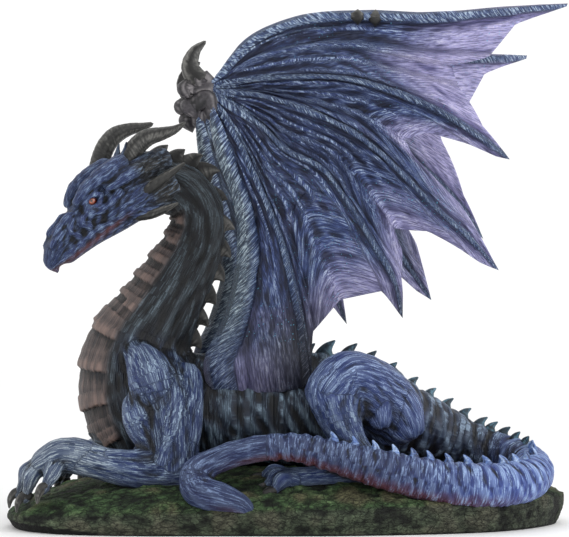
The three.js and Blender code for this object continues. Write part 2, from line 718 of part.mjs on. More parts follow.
const statue = new THREE.Group();
statue.name = "dragon_statue";
statue.add(
  meshOf(tidied(dragon), "dragon_on_mound", PAINT.body),
  meshOf(wing(LEFT_WING, socket), "left_wing", PAINT.wing),
  meshOf(wing(RIGHT_WING, socket), "right_wing", PAINT.wing),
);

export default statue;
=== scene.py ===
"""A winged dragon lying on a mossy mound: the carved and painted surfaces of its three castings.

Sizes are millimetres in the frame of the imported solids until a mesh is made, which is in metres.
"""

import math

import bpy
import numpy as np
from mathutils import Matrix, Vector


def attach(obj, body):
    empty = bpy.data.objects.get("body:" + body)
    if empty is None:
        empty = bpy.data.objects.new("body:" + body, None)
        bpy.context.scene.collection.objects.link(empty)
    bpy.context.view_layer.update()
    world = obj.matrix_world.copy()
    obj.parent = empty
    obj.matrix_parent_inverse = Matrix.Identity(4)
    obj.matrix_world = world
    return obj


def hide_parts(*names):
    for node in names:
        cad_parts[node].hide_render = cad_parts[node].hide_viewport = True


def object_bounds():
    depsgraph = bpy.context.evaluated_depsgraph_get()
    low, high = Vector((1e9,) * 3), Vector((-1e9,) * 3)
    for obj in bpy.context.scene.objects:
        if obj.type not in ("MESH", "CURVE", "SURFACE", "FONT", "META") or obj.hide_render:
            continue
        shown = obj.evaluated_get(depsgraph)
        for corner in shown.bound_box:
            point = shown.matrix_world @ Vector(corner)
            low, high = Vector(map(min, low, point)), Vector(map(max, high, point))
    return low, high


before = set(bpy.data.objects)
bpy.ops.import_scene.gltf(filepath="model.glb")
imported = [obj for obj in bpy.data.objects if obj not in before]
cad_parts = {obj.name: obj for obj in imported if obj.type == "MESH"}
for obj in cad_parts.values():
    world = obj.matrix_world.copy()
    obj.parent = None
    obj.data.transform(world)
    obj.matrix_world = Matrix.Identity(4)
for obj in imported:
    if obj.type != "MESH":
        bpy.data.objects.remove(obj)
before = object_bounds()

MM = 0.001
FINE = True
UP = np.array([0.0, 0.0, 1.0])
ACROSS = np.array([0.0, 1.0, 0.0])
# The side of a cell of clay, in mm
FIGURE_CELL = 1.53 if FINE else 2.2
HEAD_CELL = 0.8 if FINE else 1.3


# Small helpers for arrays of points
def unit(v):
    return v / np.maximum(np.linalg.norm(v, axis=-1, keepdims=True), 1e-9)


def ramp(x, low, high):
    t = np.clip((x - low) / (high - low), 0.0, 1.0)
    return t * t * (3.0 - 2.0 * t)


def blend(a, b, share):
    return a + (b - a) * np.asarray(share)[..., None]


def paint_of(red, green, blue):
    """A linear colour from the 0 to 255 values that the eye sees."""
    c = np.array([red, green, blue], float) / 255.0
    return np.where(c <= 0.04045, c / 12.92, ((c + 0.055) / 1.055) ** 2.4)


def curve_through(joints, steps):
    """A smooth line through joints, whose columns are x, y, z and any radii."""
    p = np.array(joints, float)
    p = np.vstack([2 * p[0] - p[1], p, 2 * p[-1] - p[-2]])
    out = []
    for i in range(1, len(p) - 2):
        p0, p1, p2, p3 = p[i - 1 : i + 3]
        gaps = [max(np.linalg.norm((b - a)[:3]), 1e-4) ** 0.5 for a, b in ((p0, p1), (p1, p2), (p2, p3))]
        m1 = ((p1 - p0) / gaps[0] - (p2 - p0) / (gaps[0] + gaps[1]) + (p2 - p1) / gaps[1]) * gaps[1]
        m2 = ((p2 - p1) / gaps[1] - (p3 - p1) / (gaps[1] + gaps[2]) + (p3 - p2) / gaps[2]) * gaps[1]
        t = (np.arange(steps) / steps)[:, None]
        a = 2 * t**3 - 3 * t**2 + 1
        b = t**3 - 2 * t**2 + t
        out.append(a * p1 + b * m1 + (1 - a) * p2 + (t**3 - t**2) * m2)
    return np.vstack([*out, p[-2][None]])


class Limb:
    """A rounded limb along joints [x, y, z, radius along up, radius across it]."""

    def __init__(self, joints, up=UP, steps=5, blend=3.0, coat="body"):
        wide = [j if len(j) == 5 else [*j, j[3]] for j in joints]
        line = curve_through(wide, steps)
        self.centre = line[:, :3]
        self.radii = np.maximum(line[:, 3:5], 0.25)
        self.tangent = unit(np.gradient(self.centre, axis=0))
        up = np.broadcast_to(up, self.centre.shape)
        self.up = unit(up - self.tangent * np.sum(up * self.tangent, axis=1, keepdims=True))
        self.side = np.cross(self.tangent, self.up)
        step = np.linalg.norm(np.diff(self.centre, axis=0), axis=1)
        self.along = np.concatenate([[0.0], np.cumsum(step)])
        self.blend = blend
        self.coat = coat

    def box(self, margin):
        reach = self.radii.max(1)[:, None] + margin
        return (self.centre - reach).min(0), (self.centre + reach).max(0)

    def piece(self, i, points):
        """Distance to the stretch after sample i, the share along it, and the two cross offsets."""
        a, b = self.centre[i], self.centre[i + 1]
        ab = b - a
        t = np.clip(((points - a) @ ab) / max(ab @ ab, 1e-9), 0.0, 1.0)
        radii = blend(self.radii[i], self.radii[i + 1], t)
        v = points - blend(a, b, t)
        high = v @ self.up[i] / radii[:, 0]
        wide = v @ self.side[i] / radii[:, 1]
        small = radii.min(1) * 0.9
        end = v @ self.tangent[i] / small
        k0 = np.sqrt(high**2 + wide**2 + end**2)
        k1 = np.sqrt((high / radii[:, 0]) ** 2 + (wide / radii[:, 1]) ** 2 + (end / small) ** 2)
        return k0 * (k0 - 1.0) / np.maximum(k1, 1e-6), t, high, wide

    def measure(self, points, margin=7.0):
        """For each point: distance, arc length, angle round the limb, and the local direction."""
        best = np.full(len(points), 99.0)
        along = np.zeros(len(points))
        angle = np.zeros(len(points))
        way = np.tile(self.tangent[0], (len(points), 1))
        for i in range(len(self.centre) - 1):
            reach = max(self.radii[i].max(), self.radii[i + 1].max()) + margin
            low = np.minimum(self.centre[i], self.centre[i + 1]) - reach
            high = np.maximum(self.centre[i], self.centre[i + 1]) + reach
            near = np.flatnonzero(np.all((points > low) & (points < high), axis=1))
            if not len(near):
                continue
            d, t, y, z = self.piece(i, points[near])
            closer = d < best[near]
            chosen = near[closer]
            best[chosen] = d[closer]
            along[chosen] = self.along[i] + t[closer] * (self.along[i + 1] - self.along[i])
            angle[chosen] = np.arctan2(y[closer], z[closer])
            way[chosen] = blend(self.tangent[i], self.tangent[i + 1], t[closer])
        return best, along, angle, unit(way)


def smooth_min(a, b, k):
    h = np.clip(0.5 + 0.5 * (b - a) / k, 0.0, 1.0)
    return b + (a - b) * h - k * h * (1.0 - h)


class Clay:
    """A block of distances to a form that limbs are added to and carved out of."""

    def __init__(self, low, high, cell):
        self.low = np.array(low, float)
        self.cell = cell
        count = np.ceil((np.array(high) - self.low) / cell).astype(int) + 1
        self.d = np.full(count, 9.0, np.float32)

    def near(self, low, high):
        a = np.maximum(np.floor((low - self.low) / self.cell).astype(int), 0)
        b = np.minimum(np.ceil((high - self.low) / self.cell).astype(int) + 1, self.d.shape)
        return a, b

    def points(self, a, b):
        axes = [self.low[k] + self.cell * np.arange(a[k], b[k]) for k in range(3)]
        return np.stack(np.meshgrid(*axes, indexing="ij"), -1)

    def work(self, limb, carve=False):
        margin = 3.0 + limb.blend
        a, b = self.near(*limb.box(margin))
        if np.any(b <= a):
            return
        own = np.full(b - a, 9.0, np.float32)
        for i in range(len(limb.centre) - 1):
            reach = max(limb.radii[i].max(), limb.radii[i + 1].max()) + margin
            c, e = self.near(
                np.minimum(limb.centre[i], limb.centre[i + 1]) - reach,
                np.maximum(limb.centre[i], limb.centre[i + 1]) + reach,
            )
            c, e = np.maximum(c, a), np.minimum(e, b)
            if np.any(e <= c):
                continue
            grid = self.points(c, e)
            d = limb.piece(i, grid.reshape(-1, 3))[0].reshape(grid.shape[:3])
            part = tuple(slice(p - q, r - q) for p, q, r in zip(c, a, e))
            own[part] = np.minimum(own[part], d)
        here = tuple(slice(p, q) for p, q in zip(a, b))
        if carve:
            self.d[here] = -smooth_min(-self.d[here], own, limb.blend)
        else:
            self.d[here] = smooth_min(self.d[here], own, limb.blend)

    def skin(self):
        """The form's surface as points and four-sided faces: one point in each cell it crosses."""
        inside = self.d < 0
        shape = np.array(self.d.shape) - 1
        total = np.zeros(shape, np.int8)
        for i in (0, 1):
            for j in (0, 1):
                for k in (0, 1):
                    total += inside[i : shape[0] + i, j : shape[1] + j, k : shape[2] + k]
        cells = np.argwhere((total > 0) & (total < 8))
        index = np.full(shape, -1, np.int32)
        index[tuple(cells.T)] = np.arange(len(cells))
        place = np.zeros((len(cells), 3))
        hits = np.zeros(len(cells))
        corners = [(i, j, k) for i in (0, 1) for j in (0, 1) for k in (0, 1)]
        for first in corners:
            for axis in range(3):
                if first[axis]:
                    continue
                second = list(first)
                second[axis] = 1
                d0 = self.d[tuple((cells + first).T)]
                d1 = self.d[tuple((cells + second).T)]
                cut = (d0 < 0) != (d1 < 0)
                share = np.where(cut, d0 / np.where(cut, d0 - d1, 1.0), 0.0)
                where = np.array(first, float) + np.outer(share, np.eye(3)[axis])
                place[cut] += where[cut]
                hits[cut] += 1
        place = self.low + self.cell * (cells + place / hits[:, None])
        faces = []
        for axis in range(3):
            b, c = (axis + 1) % 3, (axis + 2) % 3
            one = [slice(None)] * 3
            two = [slice(None)] * 3
            one[axis], two[axis] = slice(0, -1), slice(1, None)
            crossing = inside[tuple(one)] != inside[tuple(two)]
            edges = np.argwhere(crossing)
            ok = (edges[:, b] > 0) & (edges[:, c] > 0) & (edges[:, b] < shape[b]) & (edges[:, c] < shape[c])
            edges = edges[ok & (edges[:, axis] < shape[axis])]
            ring = []
            for db, dc in ((0, 0), (1, 0), (1, 1), (0, 1)):
                cell = edges.copy()
                cell[:, b] -= db
                cell[:, c] -= dc
                ring.append(index[tuple(cell.T)])
            ring = np.stack(ring, 1)
            out = inside[tuple(edges.T)]
            faces.append(np.where(out[:, None], ring[:, ::-1], ring)[:, ::-1])
        return place, np.vstack(faces)


class Surface:
    """Points and four-sided faces, with the neighbours that smoothing and carving need."""

    def __init__(self, points, faces):
        self.points = np.asarray(points, float)
        self.faces = np.asarray(faces, np.int64)
        f = self.faces
        pairs = np.vstack([f[:, [i, (i + 1) % 4]] for i in range(4)] + [f[:, [0, 2]], f[:, [1, 3]]])
        pairs = np.unique(np.sort(pairs, axis=1), axis=0)
        self.pairs = pairs[pairs[:, 0] != pairs[:, 1]]

    def normals(self):
        p = self.points[self.faces]
        n = np.cross(p[:, 2] - p[:, 0], p[:, 3] - p[:, 1])
        total = np.zeros_like(self.points)
        for axis in range(3):
            for corner in range(4):
                total[:, axis] += np.bincount(self.faces[:, corner], n[:, axis], len(self.points))
        return unit(total)

    def spread(self, values, weights=None, times=1):
        """Each value moves to the weighted mean of itself and its neighbours."""
        a, b = self.pairs.T
        w = np.ones(len(a)) if weights is None else weights
        count = len(self.points)
        total = 1.0 + np.bincount(a, w, count) + np.bincount(b, w, count)
        values = values if values.ndim > 1 else values[:, None]
        for _ in range(times):
            moved = np.empty_like(values)
            for k in range(values.shape[1]):
                v = values[:, k]
                moved[:, k] = (v + np.bincount(a, w * v[b], count) + np.bincount(b, w * v[a], count)) / total
            values = moved
        return values if values.shape[1] > 1 else values[:, 0]

    def hollows(self, times):
        """How deep each point lies under its surroundings, in mm: more than 0 in a crease."""
        mean = self.spread(self.points, times=times)
        return np.sum((mean - self.points) * self.normals(), axis=1)

    def strokes(self, way, seed, width=1, length=24):
        """Noise drawn out along a direction, like carved strokes: about -2 to 2."""
        a, b = self.pairs.T
        edge = unit(self.points[b] - self.points[a])
        mean = unit(way[a] + way[b] * np.sign(np.sum(way[a] * way[b], axis=1, keepdims=True)))
        w = np.abs(np.sum(edge * mean, axis=1)) ** 10
        noise = np.random.default_rng(seed).standard_normal(len(self.points))
        noise = self.spread(noise, times=width)
        drawn = self.spread(noise, w * 2.0, times=length)
        drawn -= self.spread(drawn, times=10)
        size = np.sqrt(self.spread(drawn**2, times=14))
        return np.clip(drawn / np.maximum(size, 1e-6), -2.4, 2.4)

    def finer(self, name):
        """The same surface with every face cut in four and rounded."""
        mesh = bpy.data.meshes.new(name)
        mesh.from_pydata(self.points.tolist(), [], self.faces.tolist())
        obj = bpy.data.objects.new(name, mesh)
        bpy.context.scene.collection.objects.link(obj)
        modifier = obj.modifiers.new("rounded", "SUBSURF")
        modifier.levels = 1
        done = obj.evaluated_get(bpy.context.evaluated_depsgraph_get()).to_mesh()
        points = np.empty(len(done.vertices) * 3)
        done.vertices.foreach_get("co", points)
        faces = np.empty(len(done.loops), np.int32)
        done.loops.foreach_get("vertex_index", faces)
        bpy.data.objects.remove(obj)
        bpy.data.meshes.remove(mesh)
        return Surface(points.reshape(-1, 3), faces.reshape(-1, 4))


# How far apart and how long the fine strokes are, in mm
STROKE_WIDTH, STROKE_LENGTH = 0.42, 3.4
# How far apart the strokes of limbs, of a wing's stretches and of its sides are read, so that none match
LIMB_SPACING = 31.0
STRETCH_SPACING, SIDE_SPACING = 37.0, 500.0
FIELDS = {"FLOAT": "value", "FLOAT_VECTOR": "vector", "FLOAT_COLOR": "color"}


def store(mesh, name, values, kind="FLOAT"):
    """Values at each point, as an attribute that the materials read."""
    if kind == "FLOAT_COLOR":
        layers = mesh.color_attributes
        values = np.concatenate([np.clip(values, 0, 1), np.ones((len(values), 1))], 1)
    else:
        layers = mesh.attributes
    data = layers.new(name, kind, "POINT").data
    data.foreach_set(FIELDS[kind], np.asarray(values, np.float32).ravel())


def object_from(name, points, faces, paint, gloss, material, normals=None):
    """A mesh object in metres with its paint and gloss stored at each point, and given normals if any."""
    mesh = bpy.data.meshes.new(name)
    mesh.vertices.add(len(points))
    held = np.clip(np.asarray(points) * MM, before[0], before[1])
    mesh.vertices.foreach_set("co", held.astype(np.float32).ravel())
    sizes = np.array([len(f) for f in faces]) if isinstance(faces, list) else np.full(len(faces), 4)
    corners = np.concatenate(faces) if isinstance(faces, list) else faces.ravel()
    mesh.loops.add(len(corners))
    mesh.loops.foreach_set("vertex_index", corners.astype(np.int32))
    mesh.polygons.add(len(sizes))
    mesh.polygons.foreach_set("loop_start", np.concatenate([[0], np.cumsum(sizes)[:-1]]).astype(np.int32))
    mesh.polygons.foreach_set("use_smooth", np.ones(len(sizes), bool))
    mesh.update(calc_edges=True)
    store(mesh, "paint", paint, "FLOAT_COLOR")
    store(mesh, "gloss", np.broadcast_to(gloss, len(points)))
    mesh.validate()
    if normals is not None:
        mesh.normals_split_custom_set_from_vertices(normals.tolist())
    mesh.materials.append(material)
    obj = bpy.data.objects.new(name, mesh)
    bpy.context.scene.collection.objects.link(obj)
    return obj


def finish(obj, grain, light, brush, wash):
    """Where the fine strokes run, the paint a dry brush leaves on them, its amount with the painted light and
    shade that some parts put into it, and the wash between.
    """
    store(obj.data, "grain", grain, "FLOAT_VECTOR")
    store(obj.data, "wash", np.broadcast_to(wash, len(light)))
    store(obj.data, "light", light, "FLOAT_COLOR")
    store(obj.data, "brush", brush)


# The figure's limbs: joints of centre and radii in mm. Left is towards -Y.
TORSO = [
    [-76, 0, 47, 20, 18], [-57, 0, 51, 26, 23], [-30, 0, 52, 27, 24], [-2, 0, 52, 27, 22],
    [22, 0, 53, 26, 21], [42, 0, 50, 24, 20],
]
NECK = [
    [-68, 0, 42, 22, 19.5], [-72.5, 0, 60, 23, 24.5], [-71, 0, 80, 22, 24.5], [-61.5, 0, 97, 20, 20.5],
    [-52, 0, 114, 17, 17.3], [-43.5, 0, 131, 14.5, 14.8], [-41.5, -1, 145, 13, 13],
    [-47.5, -3, 155.5, 12, 12.4], [-60, -5, 160, 11.5, 12.3],
]
TAIL = [
    [36, 0, 53, 22], [57.5, 5, 47, 17], [75, 12, 40.5, 13.8], [92, 15, 34, 11.3], [105, 12, 30, 10.2],
    [114.5, 0, 26.5, 9.8], [115.5, -17, 24, 9.6], [107.5, -36, 21.5, 9.8], [92, -46, 20.5, 10],
    [73.5, -50, 21.5, 10], [55.5, -52, 25, 9.3], [38, -53, 29.5, 8.4], [20, -53, 34.5, 7.3],
    [2.5, -53, 38, 6.4], [-15, -53, 36.7, 6], [-30.5, -54, 32, 6.2], [-39.5, -56, 26, 7],
    [-38, -59, 19.5, 7.6], [-27.5, -61, 16, 6.8], [-18, -62, 13, 4.4], [-13.5, -62, 7.5, 1.8],
]
LEGS = [
    [[-56, -16, 66, 15, 13], [-54, -28, 57, 15, 13], [-51, -35, 42, 12.5], [-50, -37, 29, 10.5]],
    [[-48, -37, 27, 10], [-62, -38, 26, 9.3], [-77, -40, 28.5, 7.8], [-92, -41, 32.5, 7]],
    [[-90, -41, 33, 6.8], [-100, -41, 34, 7.6, 8.5], [-108, -41, 30.5, 6.2, 9]],
    [[-56, 16, 64, 14], [-54, 27, 52, 13], [-50, 34, 31, 11]],
    [[-50, 34, 29, 9.5], [-66, 37, 28, 8.3], [-82, 38, 30, 7], [-90, 38, 31, 6.6]],
    [[-88, 38, 31, 6.6], [-97, 38, 29.5, 6.6, 8], [-103, 38, 26, 5, 8]],
    [[50, -12, 52, 15, 14], [42, -20, 60, 16, 13], [28, -29, 67, 13.5], [22, -33, 62, 12]],
    [[22, -33, 62, 11.5], [25, -36, 50, 10], [30, -38, 39, 7.6], [37, -40, 30, 6]],
    [[42, -15, 61, 11, 9], [53, -19, 53, 10, 8], [57, -20, 45, 9, 7]],
    [[40, -40, 27, 5.5], [24, -41, 24.5, 5.5], [8, -42, 23.5, 5, 6.5], [0, -42, 23, 4.6, 7]],
    [[50, 12, 52, 15, 14], [42, 20, 60, 16, 13], [28, 29, 66, 13.5], [22, 32, 61, 12]],
    [[22, 32, 61, 11.5], [26, 36, 49, 10], [32, 38, 38, 7.6], [40, 39, 29, 6]],
    [[42, 40, 27, 5.5], [26, 41, 25, 5.5], [10, 42, 24.5, 5, 6.5], [2, 42, 24, 4.6, 7]],
]
# Muscles that stand out a little from the limbs they lie on
MUSCLES = [
    [[-67, -22, 78, 7, 7], [-63, -30, 73, 10, 9], [-60, -34.5, 66, 11, 10.5], [-57, -34, 58, 8, 8]],
    [[-45, -24, 68, 9, 7], [-44, -32, 56, 9, 7], [-45, -38, 42, 7]],
    [[-68, -31, 57, 6, 6], [-65.5, -35.5, 50, 8.5, 8.5], [-62, -37, 42, 7, 7], [-58, -37, 35, 6, 6]],
    [[-51, -36, 66, 4, 4], [-50, -41, 55, 4.6, 4.4], [-51, -43.5, 43, 4.6, 4.4], [-54, -43, 31, 5, 4.5]],
    [[-56, -41, 31, 5, 4], [-68, -42, 31, 5, 4], [-80, -43, 32, 4]],
    [[30, -31, 72, 8, 6], [21, -36, 66, 9, 6], [18, -37, 57, 7, 5]],
    [[36, -27, 66, 6, 5], [42, -29, 57, 6, 4], [44, -30, 48, 5, 4]],
    [[-69, 20, 69, 9, 7], [-60, 28, 62, 10, 7]],
    [[28, 32, 72, 8, 6], [20, 36, 66, 9, 6], [18, 37, 57, 7, 5]],
]
# Toes: palm, knuckle and tip, with a claw that hooks down from the tip
TOES = [
    [[-107, -35, 31], [-114, -33, 27], [-117, -32, 18]],
    [[-109, -39, 30], [-116, -39, 25], [-120, -39, 15.5]],
    [[-108, -43, 29], [-113, -46, 23], [-115.5, -47, 14.5]],
    [[-101, -46, 30], [-103, -51, 25], [-106, -54, 19]],
    [[-101, 33, 27], [-108, 31, 23], [-112, 30, 17]],
    [[-103, 38, 27], [-111, 38, 22], [-115, 38, 16]],
    [[-102, 43, 26], [-108, 46, 21], [-111, 47, 15]],
    [[-95, 44, 29], [-98, 50, 24], [-101, 53, 18]],
    [[3, -37, 24], [-5, -36, 25], [-12, -35, 22]],
    [[1, -42, 23], [-4, -43, 23.5], [-9, -45, 18]],
    [[4, -47, 22.5], [-1, -50, 22], [-6, -52, 17]],
    [[4, 37, 24], [-4, 36, 25], [-11, 35, 21]],
    [[3, 42, 24], [-4, 43, 23.5], [-10, 44, 18]],
    [[5, 47, 23], [-1, 50, 22], [-7, 52, 17]],
]
TOE_RADIUS = 3.3
CLAW_REACH = 5.5

# Belly plates on the front of the neck
PLATE_TOP, PLATE_FOOT = 0.86, 0.02
PLATES = 9
PLATE_LIP = 2.2
PLATE_HALF_ANGLE = 1.15

# Paint of each coat: in the creases, on the flesh, and where a dry brush caught the strokes
COATS = {
    "neck": (paint_of(4, 6, 8), paint_of(22, 28, 36), paint_of(116, 134, 146)),
    "flank": (paint_of(5, 8, 12), paint_of(27, 38, 56), paint_of(124, 146, 164)),
    "leg": (paint_of(6, 10, 22), paint_of(31, 54, 100), paint_of(160, 182, 204)),
    "haunch": (paint_of(7, 12, 26), paint_of(44, 64, 118), paint_of(156, 178, 216)),
    "tail_root": (paint_of(6, 9, 16), paint_of(34, 46, 70), paint_of(126, 146, 168)),
    "tail": (paint_of(7, 11, 28), paint_of(34, 52, 112), paint_of(148, 172, 212)),
    "head": (paint_of(5, 8, 15), paint_of(36, 52, 94), paint_of(132, 154, 182)),
}
PLATE_COAT = (paint_of(30, 27, 27), paint_of(86, 76, 74), paint_of(158, 132, 122))
MUSCLE_BLUE = paint_of(24, 46, 120)
FORELEG_COAT = (paint_of(70, 90, 112), paint_of(186, 198, 204))
# The earth's red, painted on the tail's downward faces as a reflection of the ground beneath
REFLECTED_EARTH_RED = paint_of(120, 58, 44)
HORN_COAT = (paint_of(13, 13, 13), paint_of(48, 48, 47), paint_of(116, 115, 111))
KNUCKLE_COAT = (paint_of(16, 16, 20), paint_of(58, 55, 60), paint_of(126, 122, 124))


def figure_limbs():
    limbs = [Limb(TORSO, coat="flank", blend=7.0), Limb(NECK, ACROSS, coat="neck", blend=6.0)]
    limbs.append(Limb(TAIL[:6], coat="tail_root", blend=7.0))
    limbs.append(Limb(TAIL[4:], coat="tail", blend=1.2))
    for i, joints in enumerate(LEGS):
        coat = "haunch" if i in (6, 8, 10) else "leg"
        limbs.append(Limb(joints, coat=coat, blend=5.0))
    for i, joints in enumerate(MUSCLES):
        coat = "haunch" if i in (5, 6, 8) else "leg"
        limbs.append(Limb(joints, coat=coat, blend=2.6))
    for root, knuckle, tip in TOES:
        bend = [0.45 * a + 0.55 * b for a, b in zip(knuckle, tip)]
        hand = [0.5 * a + 0.5 * b for a, b in zip(root, knuckle)]
        joints = [[*root, TOE_RADIUS * 1.1], [hand[0], hand[1], hand[2] + 1.2, TOE_RADIUS * 0.84]]
        joints.append([knuckle[0], knuckle[1], knuckle[2] + 1.2, TOE_RADIUS * 1.25])
        joints.append([bend[0], bend[1], bend[2] + 0.6, TOE_RADIUS * 0.8])
        limbs.append(Limb([*joints, [*tip, TOE_RADIUS * 0.86]], steps=6, coat="leg", blend=1.2))
    return limbs


def coated(surface, limbs, spread=2.2):
    """For each point: the nearest limb, its arc length and angle, and the flow of the coat."""
    found = [limb.measure(surface.points) for limb in limbs]
    distance = np.stack([f[0] for f in found])
    nearest = distance.argmin(0)
    weight = np.exp(-(distance - distance.min(0)) / spread)
    rows = np.arange(len(surface.points))
    along = np.stack([f[1] for f in found])[nearest, rows]
    angle = np.stack([f[2] for f in found])[nearest, rows]
    main = np.stack([f[3] for f in found])[nearest, rows]
    flow = np.zeros_like(main)
    paint = [np.zeros_like(main) for _ in range(3)]
    total = np.zeros(len(main))
    for w, (_, _, _, way), limb in zip(weight, found, limbs):
        keep = w > 0.02
        flow[keep] += (w * np.sign(np.sum(way * main, axis=1)))[keep, None] * way[keep]
        total += np.where(keep, w, 0)
        for layer, colour in zip(paint, COATS[limb.coat]):
            layer += np.where(keep, w, 0)[:, None] * colour
    paint = [layer / total[:, None] for layer in paint]
    return nearest, along, angle, unit(flow), paint


def brushed(layers, relief, hollow, amount=1.0):
    """Wash in the creases, the flesh colour, and a dry brush on what stands out."""
    dark, flesh, light = layers
    colour = blend(dark, flesh, ramp(relief - 1.6 * hollow, -1.3, 0.7))
    return blend(colour, light, np.clip(amount, 0, 1) * ramp(relief - 1.2 * hollow, 0.35, 2.1))


def modelled(name, limbs, cell, margin, smooth, hollows=(), details=()):
    """A smooth surface: limbs joined in clay, hollows carved from it, then details laid on."""
    low = np.min([limb.box(margin)[0] for limb in limbs], axis=0)
    high = np.max([limb.box(margin)[1] for limb in limbs], axis=0)
    clay = Clay(low, high, cell)
    for limb in limbs:
        clay.work(limb)
    for limb in hollows:
        clay.work(limb, carve=True)
    for limb in details:
        clay.work(limb)
    surface = Surface(*clay.skin())
    surface.points = surface.spread(surface.points, times=smooth)
    return surface.finer(name)


class Figure:
    """Trunk, neck, legs and tail as one surface: plates, strokes and folds carved, then painted."""

    def __init__(self):
        limbs = figure_limbs()
        self.neck = limbs[1]
        self.surface = modelled("figure", limbs, FIGURE_CELL, margin=4.0, smooth=2)
        self.nearest, self.along, self.angle, self.flow, self.layers = coated(self.surface, limbs)
        self.coat = np.array([limb.coat for limb in limbs])[self.nearest]
        self.reach = np.array([limb.radii.mean() for limb in limbs])[self.nearest]
        self.on_tail = self.coat == "tail"
        self.on_neck = self.coat == "neck"
        self.on_leg = np.isin(self.coat, ["leg", "haunch"])
        # These follow the points while they are carved, up to the last softening.
        self.x, self.z = self.surface.points[:, 0], self.surface.points[:, 2]
        self.plan_strokes()
        self.lay_plates()
        self.carve()

    def plan_strokes(self):
        """Strokes run along the neck and legs, and round the trunk and tail."""
        surface, on_leg = self.surface, self.on_leg
        self.normal = surface.normals()
        slanted = unit(unit(np.cross(self.flow, self.normal)) + 0.35 * self.flow)
        self.turned = np.isin(self.coat, ["flank", "tail_root"]) | (self.on_tail & (self.x > -8))
        way = np.where(self.turned[:, None], slanted, self.flow)
        broad = surface.strokes(way, 3, width=3, length=26)
        narrow = surface.strokes(way, 4, width=1, length=16)
        folds = surface.spread(surface.strokes(way, 5, width=10, length=30), times=6)
        self.relief = np.where(on_leg, 0.2, 0.42) * broad + np.where(on_leg, 0.4, 0.5) * narrow
        self.folds = folds * np.where(on_leg, 0.4, 1.0)

    def lay_plates(self):
        """Overlapping plates down the front of the neck."""
        share = self.along / self.neck.along[-1]
        off = np.abs(self.angle)
        on_front = self.on_neck & (off < PLATE_HALF_ANGLE + 0.12)
        edge = 1.0 - ramp(off, PLATE_HALF_ANGLE - 0.1, PLATE_HALF_ANGLE + 0.1)
        place = (PLATE_TOP - share) / (PLATE_TOP - PLATE_FOOT) * PLATES + 0.12 * np.cos(1.3 * self.angle) ** 2
        on_front &= (place > 0) & (place < PLATES)
        self.step = place % 1.0
        self.plate = np.where(on_front, edge, 0.0)
        lip = PLATE_LIP * (self.step**1.3 - 0.35) * (1.0 - ramp(self.step, 0.93, 1.0) * 0.9)
        self.surface.points += self.normal * (self.plate * lip)[:, None]
        self.plate_strokes = self.surface.strokes(self.flow, 9, width=2, length=20)

    def carve(self):
        """The strokes, the folds and the tail's rings, softened a little."""
        surface = self.surface
        lift = np.where(self.on_tail, 0.3, 0.42) * (1.0 - 0.75 * self.plate) * 0.8
        rings = 0.35 * np.sin(self.along * 1.15 + 0.6 * self.angle)
        self.ripple = np.where(self.on_tail & (self.x > -5), rings, 0.0)
        self.folds = self.folds * ~self.on_tail * (1.0 - self.plate)
        height = lift * self.relief + 0.55 * self.folds + self.ripple * ramp(self.z, 12, 30)
        surface.points += self.normal * height[:, None]
        surface.points = surface.spread(surface.points, times=1) * 0.35 + surface.points * 0.65
        self.normal = surface.normals()
        self.hollow = surface.hollows(8) + 0.5 * surface.hollows(26)
        self.swelling = np.clip(self.hollow + 0.5 * surface.hollows(60), -0.9, 1.6)
        self.foreleg_low = self.on_leg * ramp(-self.x, 66, 92)
        # Painted shade: low points of the figure, away from the tail, are darkened near the ground.
        self.ground_shade = ramp(-self.z, -27, -18) * ~self.on_tail
        self.tail_light = np.where(self.on_tail, 0.52 + 1.15 * ramp(self.x, 35, 112), 1.0)

    def colours(self):
        """The paint of the flesh, with painted shade near the ground and a painted shade and reflection of
        the earth under the tail, and the light paint of the dry brush.
        """
        x, z = self.x, self.z
        dark, flesh, light = self.layers
        flesh = blend(flesh, MUSCLE_BLUE, 0.5 * ramp(-self.swelling, 0.1, 0.7) * self.on_leg)
        flesh = blend(flesh, FORELEG_COAT[0], 0.5 * self.foreleg_low)
        light = blend(light, FORELEG_COAT[1], 0.8 * self.foreleg_low)
        standing = 0.45 * self.relief + 0.35 * self.folds + 1.2 * self.ripple
        colour = brushed((dark, flesh, light), standing, self.swelling, 0.34 - 0.14 * self.on_neck)
        upper_foreleg = (self.coat == "leg") & (x > -66) & (x < -20)
        tone = self.tail_light * np.where(self.on_neck, 0.82 - 0.2 * ramp(z, 95, 125), 1.0)
        tone = tone * np.where(self.on_leg, 0.86, 0.95) * np.where(upper_foreleg, 0.82, 1.0)
        colour = colour * tone[:, None]
        standing = 0.35 * self.plate_strokes + 1.5 * (self.step - 0.4)
        belly = brushed(PLATE_COAT, standing, np.clip(self.hollow, -0.5, 1.4), 0.55)
        belly *= (1.0 - 0.45 * ramp(z, 105, 150))[:, None]
        colour = blend(colour, belly, self.plate)
        # Painted shade and painted reflection: the tail's downward faces take a darkened red of the earth
        # beneath them.
        under_tail_shade_and_reflection = self.on_tail * ramp(-self.normal[:, 2], 0.2, 0.85) * ramp(-x, -124, -70)
        colour = blend(colour, REFLECTED_EARTH_RED * 0.7, 0.7 * under_tail_shade_and_reflection * ramp(x, -40, 0))
        # Painted shade: darker where the figure comes down near the ground.
        colour *= (1.0 - 0.45 * self.ground_shade)[:, None]
        return colour, blend(light, PLATE_COAT[2] * 0.7, self.plate)

    def brush(self):
        """How much of the light paint the dry brush leaves, with painted light on faces turned up and painted
        shade near the ground, and the dark wash between the strokes.
        """
        standing = 0.2 * self.relief + 0.2 * self.folds - 0.6 * self.swelling
        brush = np.clip(0.46 + standing, 0.03, 1.0) * self.tail_light * (1.0 + 0.9 * self.foreleg_low)
